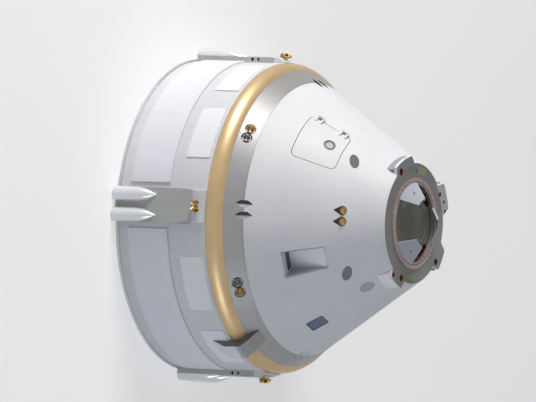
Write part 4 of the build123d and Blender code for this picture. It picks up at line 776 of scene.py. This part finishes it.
# %% Places on the surface
def places(az, r, z, tilt):
    """Origins and axes round Z: x along the azimuth, z out of a face tilted this far upwards."""
    az, r, z = np.broadcast_arrays(np.radians(az), r, z)
    side = np.stack([-np.sin(az), np.cos(az), 0 * az], axis=-1)
    out = np.stack([np.cos(az) * np.cos(tilt), np.sin(az) * np.cos(tilt), 0 * az + np.sin(tilt)], axis=-1)
    return turned(r, az, z), np.stack([side, np.cross(out, side), out], axis=-2)


def cone_places(az, z):
    """Places on the cone, y up the slope."""
    r = BAND_FOOT_R - (np.asarray(z, float) - BAND_FOOT_Z) * np.tan(CONE_LEAN)
    return places(az, r, z, CONE_LEAN)


def drum_places(az, r, z):
    """Places on the drum, y up."""
    return places(az, r, z, 0.0)


def deck_places(az, r, z):
    """Places on a level face, y inwards."""
    return places(az, r, z, np.pi / 2)


def dome(radius, height, count=8):
    """Low screw head: a flat top with a rounded rim."""
    profile = [(radius, 0), (radius, height * 0.5), (radius * 0.8, height * 0.92), (radius * 0.35, height)]
    return spun(profile, count)


def level_axes(count):
    """Axes of a number of places that are not turned."""
    return np.repeat(np.eye(3)[None], count, axis=0)


def hexagon(radius, height):
    """Nut with a washer under it and a stud through it."""
    washer = spun([(radius * 1.35, 0), (radius * 1.35, height * 0.2)], 16)
    nut = spun([(radius, height * 0.2), (radius, height * 0.9), (radius * 0.9, height)], 6)
    stud = spun([(radius * 0.5, height), (radius * 0.5, height * 1.5), (radius * 0.4, height * 1.6)], 10)
    return joined(washer, nut, stud)


# %% [markdown]
# ## Screws, nuts and seals
# A vehicle like this is held by rows of small fasteners. They are too fine for CAD but they tell
# the eye its size, so each row is one piece: a screw head repeated at places worked out as arrays.

# %% Flange nuts and drum screws
RADIATOR_R, PANEL_R = BODY_R + 0.0254, BODY_R + 0.0144
FLANGE_NUT_R, FLANGE_TOP = 2.185, 0.045
nuts = repeated(hexagon(0.021, 0.018), *deck_places(np.arange(24) * 15.0, FLANGE_NUT_R, FLANGE_TOP))
add_piece("flange_nuts", nuts, "steel", angle=25)

rows = []
for axis in (-90, 0, 90, 180):
    across = np.arange(axis + 10.5, axis + 80.0, 3.0)
    up = np.arange(0.29, 0.83, 0.09)
    for z in (0.235, 0.842):
        rows.append(drum_places(across, RADIATOR_R, z))
    for az in (axis + 9.3, axis + 80.7):
        rows.append(drum_places(az, RADIATOR_R, up))
    for start in (axis + 18.5, axis - 40.0):
        inside = np.arange(start + 1.0, start + 21.0, 2.78)
        for z in (1.068, 1.428):
            rows.append(drum_places(inside, PANEL_R, z))
origins, axes = (np.concatenate(part) for part in zip(*rows))
add_piece("panel_screws", repeated(dome(0.0065, 0.003), origins, axes), "steel")

# %% Band and plate screws
free = np.arange(1.5, 360.0, 3.0)
azimuth = (free + 180.0) % 360.0 - 180.0
clear = np.ones(len(free), bool)
for middle, half in ((0, 5), (90, 5), (180, 5), (-180, 5), (-90, 5), (-28, 9)):
    clear &= np.abs((azimuth - middle + 180) % 360 - 180) > half
band_row = cone_places(azimuth[clear], 1.948)
foot_row = cone_places(azimuth[np.abs(azimuth + 28) > 9], 1.738)
origins = np.concatenate([band_row[0], foot_row[0]])
axes = np.concatenate([band_row[1], foot_row[1]])
add_piece("band_screws", repeated(dome(0.006, 0.003), origins, axes), "band_grey")

SEAL_RING_R, SEAL_RING_TOP, PLATE_SCREW_R = 0.6540, 3.705, 0.700
ring_az = np.arange(0, 360, 6.0) + 3.0
between_hooks = ring_az[np.abs(ring_az % 30.0 - 15.0) > 6.5]
ring_screws = deck_places(between_hooks, SEAL_RING_R, SEAL_RING_TOP)
add_piece("ring_screws", repeated(dome(0.0045, 0.0025), *ring_screws), "steel")
plate_screws = deck_places(np.arange(0, 360, 7.5), PLATE_SCREW_R, PLATE_Z)
add_piece("plate_screws", repeated(dome(0.006, 0.003), *plate_screws), "steel")

# %% [markdown]
# The round window of the side hatch sits in a bolted bezel, and the blue pane in a dark gasket. The
# gasket follows the cone: its path is a rounded rectangle measured in azimuth and height. The wedge
# window's frame is made the same way.

# %% Window bezel and gaskets
HATCH_WINDOW_AZ, HATCH_WINDOW_Z, BEZEL_SCREW_R = [-134.7], [2.783], 0.082
window_at, window_axes = cone_places(HATCH_WINDOW_AZ, HATCH_WINDOW_Z)
bezel = ringed([(0.0725, -0.001), (0.090, -0.001), (0.089, 0.003), (0.074, 0.0045)], 48)
add_piece("hatch_bezel", repeated(bezel, window_at, window_axes), "dark_metal", "side_hatch")
seal = ringed([(0.050, -0.0055), (0.056, -0.0045), (0.0718, -0.0015), (0.0718, -0.0055)], 48)
add_piece("window_seal", repeated(seal, window_at, window_axes), "port_grey", "side_hatch")
circle = turned(BEZEL_SCREW_R, np.radians(np.arange(0, 360, 30.0)), 0.0035)
heads = window_at + circle @ window_axes[0]
bezel_screws = repeated(dome(0.0036, 0.002), heads, np.repeat(window_axes, len(heads), axis=0))
add_piece("bezel_screws", bezel_screws, "steel", "side_hatch")


def rounded_loop(az_from, az_to, z_from, z_to, corner, grow):
    """Rounded rectangle on the cone's skin: corner arcs in metres, turned into azimuth and height."""
    middle_az, middle_z = (az_from + az_to) / 2, (z_from + z_to) / 2
    r = BAND_FOOT_R - (middle_z - BAND_FOOT_Z) * np.tan(CONE_LEAN)
    half_x = np.radians(az_to - az_from) / 2 * r + grow
    half_y = (z_to - z_from) / 2 / np.cos(CONE_LEAN) + grow
    turns = np.linspace(0, np.pi / 2, 7)
    loops = []
    for k, (sx, sy) in enumerate(((1, 1), (-1, 1), (-1, -1), (1, -1))):
        a = turns + k * np.pi / 2
        x = sx * (half_x - corner) + corner * np.cos(a)
        y = sy * (half_y - corner) + corner * np.sin(a)
        loops.append(np.stack([x, y], axis=1))
    x, y = np.concatenate(loops).T
    return middle_az + np.degrees(x / r), middle_z + y * np.cos(CONE_LEAN)


strip = [(-0.005, -0.001), (0.005, -0.001), (0.004, 0.0025), (-0.004, 0.0025)]
for name, limits, corner, finish in (
    ("blue_window_gasket", (-24.7, -16.8, 2.404, 2.620), 0.022, "rubber"),
    ("wedge_window_frame", (-70.3, -56.8, 2.405, 2.945), 0.026, "window_grey"),
):
    az, z = rounded_loop(*limits, corner, 0.004)
    loop, facing = cone_places(az, z)
    out = facing[:, 2]
    across = np.cross(along_loop(loop), out)
    u, v = np.array(strip).T
    points = loop[:, None] + u[None, :, None] * across[:, None] + v[None, :, None] * out[:, None]
    add_piece(name, (points.reshape(-1, 3), looped_faces(len(loop), len(strip))), finish)

# %% [markdown]
# ## Docking end
# The lobes' holes hold sockets with a dark red lining. Each is a thin cup, a profile spun round Z.
# One small red spot marks the plate, and each petal has a dark button.

# %% Socket linings and buttons
SOCKET_PLACES = (
    # azimuth, distance past the plate's rim, radius
    (-145.7, -0.017, 0.055), (123.0, -0.007, 0.034), (113.4, 0.066, 0.026), (104.6, 0.068, 0.026),
    (54.7, 0.015, 0.050), (-33.5, 0.068, 0.036), (-19.1, -0.014, 0.050),
)
cups = []
for az, away, bore in SOCKET_PLACES:
    cup = ringed([(bore - 0.0005, -0.001), (bore - 0.0005, -0.0295), (0.002, -0.0295), (0.002, -0.0275),
                  (bore - 0.004, -0.0275), (bore - 0.003, -0.001)], 32)
    cups.append(repeated(cup, *(part[None] for part in deck_places(az, PLATE_R + away, PLATE_Z))))
add_piece("socket_linings", joined(*cups), "cup_red")

spot_place = [part[None] for part in deck_places(-177.8, 0.766, PLATE_Z)]
add_piece("red_plug", repeated(dome(0.017, 0.005, 20), *spot_place), "cup_red")


def surface_of(node):
    """Ray-casting tree of a CAD node."""
    mesh = frame["nodes"][node].data
    return BVHTree.FromPolygons(points_of(mesh).tolist(), [tuple(p.vertices) for p in mesh.polygons])


BUTTON_R, ABOVE_PETALS = 0.490, 4.2
petals = surface_of("guide_petals")
origins, axes = [], []
for az in (-150, -30, 90):
    above, (side, _, _) = deck_places(az, BUTTON_R, ABOVE_PETALS)
    hit, normal, _, _ = petals.ray_cast(Vector(above), Vector((0, 0, -1)))
    normal = np.array(normal)
    origins.append(np.array(hit))
    axes.append(np.stack([side, np.cross(normal, side), normal]))
button = spun([(0.015, -0.002), (0.015, 0.003), (0.012, 0.005), (0.004, 0.0055)], 24)
buttons = repeated(button, np.array(origins), np.array(axes))
add_piece("petal_buttons", buttons, "dark_metal", "capture_ring")

# %% [markdown]
# ## Under the drum
# The abort engines hang from the bulkhead. Each bell gets stiffening bands, a turned collar and
# three feed pipes that run up to the bulkhead; a cable follows the upper ring frame. The bell's
# radius at a height is found by casting a ray at the CAD node, so the bands fit it exactly.

# %% Engine bands, collars and pipes
engines = surface_of("abort_engines")
ENGINE_CIRCLE = 1.050
bell_at, _ = drum_places([22.5, 112.5, 202.5, 292.5], ENGINE_CIRCLE, 0.0)
upright = level_axes(len(bell_at))


def bell_radius(z):
    """Outer radius of the first bell at a height, by a level ray from outside towards its axis."""
    x, y, _ = bell_at[0]
    hit, _, _, _ = engines.ray_cast(Vector((x + 0.5, y, z)), Vector((-1, 0, 0)))
    return hit.x - x


bands = []
for z in (0.085, 0.150, 0.225, 0.300):
    r_low, r_high = bell_radius(z - 0.008), bell_radius(z + 0.008)
    bands.append(ringed([
        (r_low - 0.002, z - 0.008), (r_low + 0.007, z - 0.007),
        (r_high + 0.007, z + 0.007), (r_high - 0.002, z + 0.008),
    ], 64))
add_piece("bell_bands", repeated(joined(*bands), bell_at, upright), "steel")

r = bell_radius(0.38)
collar = ringed([(r - 0.002, 0.372), (r + 0.014, 0.374), (r + 0.014, 0.392), (r - 0.002, 0.394)], 48)
lugs = repeated(dome(0.007, 0.005, 6), *drum_places(np.arange(0, 360, 30.0), r + 0.0135, 0.383))
add_piece("throat_collars", repeated(joined(collar, lugs), bell_at, upright), "nozzle_gold")

pipes = []
t = np.linspace(0, 1, 25)
for turn in (35.0, -35.0, 150.0):
    c, s = np.cos(np.radians(turn)), np.sin(np.radians(turn))
    away = r + 0.012 + 0.045 * np.sin(np.pi * t)
    path_points = np.stack([away * c, away * s, 0.385 + 0.12 * t ** 1.5], axis=1)
    pipes.append(carried(path_points, round_outline(0.008, 10)))
add_piece("feed_pipes", repeated(joined(*pipes), bell_at, upright), "steel", angle=60)

CABLE_R, CABLE_Z, CLIP_EVERY = 2.188, 0.462, 15
a = np.arange(0, 360, 2.0)
cable_path, _ = drum_places(a, CABLE_R + 0.004 * np.sin(24 * np.radians(a)), CABLE_Z)
cable = carried(cable_path, round_outline(0.009, 10), closed=True)
clip = spun([(0.013, -0.012), (0.014, -0.010), (0.014, 0.010), (0.013, 0.012)], 16)
clip_at, clip_axes = drum_places(a[::CLIP_EVERY], CABLE_R, CABLE_Z)
run, up, out = clip_axes.swapaxes(0, 1)
clips = repeated(clip, clip_at, np.stack([out, -up, run], axis=1))
add_piece("skirt_cable", cable, "rubber", angle=60)
add_piece("cable_clips", clips, "steel")

# %% [markdown]
# Two CAD pieces get a closer outline here. The umbilical fairing is a hood whose ridge runs level
# over the shoulder before it drops to the cone. The wedge window is a deep recess: its aft wall leans
# over the room, and a dark pane in that wall looks towards the docking end.

# %% Umbilical hood and wedge recess
def swept(outline, az_from, az_to, steps=12):
    """Closed solid: an (r, z) outline turned round Z between two azimuths, with a flat cap at each end."""
    r, z = np.array(outline, float).T
    points = turned(r, np.radians(np.linspace(az_from, az_to, steps + 1))[:, None], z)
    return points.reshape(-1, 3), sheet_faces(steps + 1, len(r)) + caps(steps + 1, len(r))


def under_skin(up, depth):
    """(r, z) of a point so far up the cone's slope from the band's foot, and so deep under its skin."""
    way, out = (-np.sin(CONE_LEAN), np.cos(CONE_LEAN)), (np.cos(CONE_LEAN), np.sin(CONE_LEAN))
    return BAND_FOOT_R + up * way[0] - depth * out[0], BAND_FOOT_Z + up * way[1] - depth * out[1]


def softened(piece, width, segments):
    """Rounded edges on a piece."""
    edge = piece.modifiers.new("soft_edges", "BEVEL")
    edge.width, edge.segments, edge.limit_method = width, segments, "ANGLE"


HOOD = [
    (2.2948, 1.184), (2.2948, 1.6195), (2.171, 1.722), (2.0631, 1.880), (2.0690, 1.883),
    (2.275, 1.764), (2.387, 1.668), (2.392, 1.551), (2.398, 1.417),
]
HOOD_FROM, HOOD_TO = -34.8, -27.7
# the hood wears the umbilical finish, with its painted shade on the side face
hood = add_piece("umbilical_hood", swept(HOOD, HOOD_FROM, HOOD_TO), "umbilical_paint",
                 smooth=False)
softened(hood, 0.003, 2)
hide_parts("umbilical_fairing")

WEDGE_FROM, WEDGE_TO = 0.8196, 1.4649
RECESS, LEAN, LIP, RIM = (0.270, 0.014), 0.447, 0.012, 0.0015
aft_foot = WEDGE_FROM + LIP + LEAN * RECESS[0]
room = [(WEDGE_TO - LIP, RIM), (WEDGE_TO - LIP, RECESS[1]), (aft_foot, RECESS[0]), (WEDGE_FROM + LIP, RIM)]
case = [
    (WEDGE_FROM, RIM), (WEDGE_FROM, 0.080), (aft_foot - LIP, RECESS[0] + LIP),
    (WEDGE_TO, RECESS[1] + LIP), (WEDGE_TO, RIM),
]
walls = swept([under_skin(*at) for at in case + room], -70.0, -57.1)
ends = [
    swept([under_skin(*at) for at in case], *side, steps=1)
    for side in ((-70.28, WEDGE_LEFT), (WEDGE_RIGHT, -56.82))
]
# the recess wears the wedge finish with its painted light and shade
recess = add_piece("wedge_recess", joined(walls, *ends), "wedge_paint",
                   smooth=False)
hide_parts("wedge_window")
pane = [(aft_foot - LEAN * (RECESS[0] - depth) + proud, depth) for depth, proud in (
    (0.130, -0.004), (0.262, -0.004), (0.262, 0.002), (0.130, 0.002))]
add_piece("wedge_pane", swept([under_skin(*at) for at in pane], -69.2, -57.9), "pane_teal",
          smooth=False)

# %% [markdown]
# ## Inside the cabin
# The couches show when the side hatch stands open. The CAD couch is one solid block, so it is
# replaced by what it stands for: a thin shell, three cushions with piping and a harness of four
# straps with one buckle.
# A cushion is a rounded box whose sides pull in between the corners and whose crown is highest in
# the middle; sewn channels sink across it.

# %% Couch shells
FLOOR_Z = 1.700
COUCHES = (-0.990, -0.330, 0.330, 0.990)
COUCH_HALF = 0.225
COUCH_BACK = np.array([(-0.800, 0.680), (-0.140, 0.320)])
COUCH_SEAT = np.array([(-0.140, 0.320), (0.300, 0.560)])
SHELL = np.array([
    (-0.700, 0.001), (-0.640, 0.300), (-0.860, 0.600), (-0.835, 0.622), (-0.175, 0.248),
    (0.268, 0.482), (0.300, 0.455), (0.120, 0.160), (0.060, 0.001), (-0.060, 0.001),
    (-0.120, 0.160), (-0.480, 0.200), (-0.560, 0.001),
])


def side_cut(outline, x_from, x_to):
    """Side profile (y, z over the floor) carried from one x to another, closed by its two faces."""
    y, z = outline.T
    near = np.stack([0 * y + x_from, y, z + FLOOR_Z], axis=1)
    far = near + [x_to - x_from, 0, 0]
    return np.concatenate([near, far]), sheet_faces(2, len(y)) + caps(2, len(y))


shells = [side_cut(SHELL, x - COUCH_HALF, x + COUCH_HALF) for x in COUCHES]
couch_shells = add_piece("couch_shells", joined(*shells), "window_grey", smooth=False)
softened(couch_shells, 0.008, 3)

# %% Cushions, piping and harness
def power(value, exponent):
    """A value's size to a power, with its sign kept."""
    return np.sign(value) * np.abs(value) ** exponent


def pad_outline(u, length, width, ring=1.0):
    """Superellipse whose sides pull in between the corners, and each point's share of the half sizes."""
    x = width / 2 * ring * power(np.cos(u), 0.28)
    y = length / 2 * ring * power(np.sin(u), 0.28)
    bow_x, bow_y = x / (width / 2), y / (length / 2)
    return x * (1 - 0.035 * (1 - bow_y ** 2)), y * (1 - 0.025 * (1 - bow_x ** 2)), bow_x, bow_y


def cushion(length, width, thick, channels):
    """Crowned pad: a superellipsoid |x|,|y|,|z| whose crown rises as cos x cos y over its flat base.

    Each sewn channel lowers the top by a narrow bell curve across y; crossed sines make it uneven."""
    around, over_top = 48, 40
    u = np.linspace(0, 2 * np.pi, around, endpoint=False)[None, :]
    v = np.linspace(-np.pi / 2, np.pi / 2, over_top)[:, None]
    x, y, bow_x, bow_y = pad_outline(u, length, width, power(np.cos(v), 0.35))
    z = thick / 2 * power(np.sin(v), 0.55) + 0 * u
    crown = np.cos(np.pi / 2 * np.clip(bow_x, -1, 1)) * np.cos(np.pi / 2 * np.clip(bow_y, -1, 1))
    top = z > 0
    z = np.where(top, z * (0.72 + 0.28 * crown), z * 0.94)
    for channel in channels:
        z = z - np.where(top, 0.010 * np.exp(-((y - channel) / 0.010) ** 2), 0)
    z = z + np.where(top, 0.0016 * np.sin(x * 61 + y * 17) * np.sin(y * 47 - x * 11), 0)
    points = np.stack([x, y, z], axis=-1).reshape(-1, 3)
    return points, sheet_faces(over_top, around)


def piping(length, width):
    """Bead along the pad's widest line: the same superellipse at half height, as a thin tube."""
    x, y, _, _ = pad_outline(np.linspace(0, 2 * np.pi, 96, endpoint=False), length, width)
    return carried(np.stack([x, y, 0 * x], axis=1), round_outline(0.005, 8), closed=True)


def on_face(line, start, lift):
    """Origin and axes on a sloping face: start metres along its side view, and lifted off it."""
    way = unit(line[1] - line[0])
    at = line[0] + way * start
    out = np.array([-way[1], way[0]])
    origin = np.array([0, at[0] + out[0] * lift, at[1] + out[1] * lift + FLOOR_Z])
    return origin, np.array([[1, 0, 0], [0, way[0], way[1]], [0, out[0], out[1]]])


PADS = {
    # name: face, place along it, length, width, thickness, channels
    "head_pads": (COUCH_BACK, 0.095, 0.150, 0.300, 0.062, ()),
    "back_pads": (COUCH_BACK, 0.455, 0.540, 0.400, 0.066, (-0.135, 0.0, 0.135)),
    "thigh_pads": (COUCH_SEAT, 0.262, 0.440, 0.420, 0.066, (-0.08, 0.08)),
}
over = np.array([(x, 0.0, 0.0) for x in COUCHES])
level = level_axes(len(COUCHES))
couch_pieces = [couch_shells]
for name, (line, start, length, width, thick, channels) in PADS.items():
    origin, axes3 = on_face(line, start, -thick / 2 - 0.002)
    pad_shape = repeated(cushion(length, width, thick, channels), origin[None], axes3[None])
    pad = add_piece(name, repeated(pad_shape, over, level), "seat_cloth", angle=80)
    bead_shape = repeated(piping(length, width), origin[None], axes3[None])
    bead = add_piece(name.replace("pads", "piping"), repeated(bead_shape, over, level), "piping",
                     angle=80)
    couch_pieces += [pad, bead]


def band_along(points, width, thick):
    """Flat webbing: a thin rectangle carried along a path."""
    u = np.array([-0.5, 0.5, 0.5, -0.5]) * width
    v = np.array([-0.5, -0.5, 0.5, 0.5]) * thick
    return carried(points, np.stack([u, v], axis=1))


origin, axes3 = on_face(COUCH_BACK, 0.455, 0.0)
s = np.linspace(0, 1, 21)
STRAP_WIDTH, STRAP_THICK = 0.042, 0.003
straps = []
for half in (-1, 1):
    for x, y, z in (
        (0.105 - 0.045 * s, -0.250 + 0.490 * s, 0.004 + 0.010 * np.sin(np.pi * s)),
        (0.205 - 0.175 * s, 0.225 + 0.015 * s, -0.020 + 0.032 * s),
    ):
        line = origin + np.stack([half * x, y, z], axis=1) @ axes3
        straps.append(band_along(line, STRAP_WIDTH, STRAP_THICK))
harness = add_piece("harness", repeated(joined(*straps), over, level), "strap_cloth",
                    angle=60)
buckle = spun([(0.030, -0.006), (0.034, -0.004), (0.034, 0.006), (0.026, 0.010), (0.008, 0.011)], 24)
buckle = repeated(buckle, (origin + np.array([0, 0.240, 0.016]) @ axes3)[None], axes3[None])
buckles = add_piece("buckles", repeated(buckle, over, level), "steel")
for piece in couch_pieces + [harness, buckles]:
    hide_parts("crew_seats")
for piece in [p for p in couch_pieces if p.name.endswith(("pads", "piping"))] + [harness]:
    mesh = piece.data
    layer = mesh.uv_layers.new(name="cloth")
    corner_of = np.empty(len(mesh.loops), np.int32)
    mesh.loops.foreach_get("vertex_index", corner_of)
    at = points_of(mesh)[corner_of]
    layer.data.foreach_set("uv", np.stack([at[:, 0], at[:, 1] + at[:, 2]], axis=1).ravel())
print("couches dressed")

# %% [markdown]
# The console in front of the couches carries three screens, two rows of buttons and two knobs. They
# stand on its sloping face, whose two corners in the side view give the face's axes.

# %% Console
CONSOLE_FACE = np.array([(1.060, 0.520), (0.950, 0.900)])
console_origin, console_axes = on_face(CONSOLE_FACE, 0.0, 0.0)


def slab(x_from, x_to, y_from, y_to, low, high, inset=0.004):
    """Thin block with a sloping rim: its outline shrinks by the inset towards the top."""
    points = []
    for d, z in ((0, low), (0, high - inset), (inset, high)):
        left, right, front, back = x_from + d, x_to - d, y_from + d, y_to - d
        points += [(left, front, z), (right, front, z), (right, back, z), (left, back, z)]
    return np.array(points), sheet_faces(3, 4) + caps(3, 4)


def on_console(shape):
    """Move a shape from the console's own axes to the vehicle's."""
    return repeated(shape, console_origin[None], console_axes[None])


SCREEN_X = (-0.405, 0.0, 0.405)
frames = [slab(x - 0.185, x + 0.185, 0.130, 0.375, -0.001, 0.012) for x in SCREEN_X]
glasses = [slab(x - 0.165, x + 0.165, 0.150, 0.355, 0.010, 0.0135, 0.001) for x in SCREEN_X]
add_piece("screen_frames", on_console(joined(*frames)), "dark_metal", smooth=False)
add_piece("screens", on_console(joined(*glasses)), "screen_glass", smooth=False)
x, y = np.meshgrid(np.linspace(-0.56, 0.56, 27), (0.045, 0.085))
spots = np.stack([x.ravel(), y.ravel(), 0 * x.ravel()], axis=1)
keys = repeated(slab(-0.013, 0.013, -0.011, 0.011, -0.001, 0.009), spots, level_axes(len(spots)))
add_piece("console_keys", on_console(keys), "hook_white", smooth=False)
knob = spun([(0.017, -0.001), (0.017, 0.016), (0.014, 0.020), (0.005, 0.021)], 20)
knob_at = np.array([(-0.205, 0.250, 0.0), (0.2, 0.250, 0.0)])
add_piece("console_knobs", on_console(repeated(knob, knob_at, level_axes(2))), "rubber")
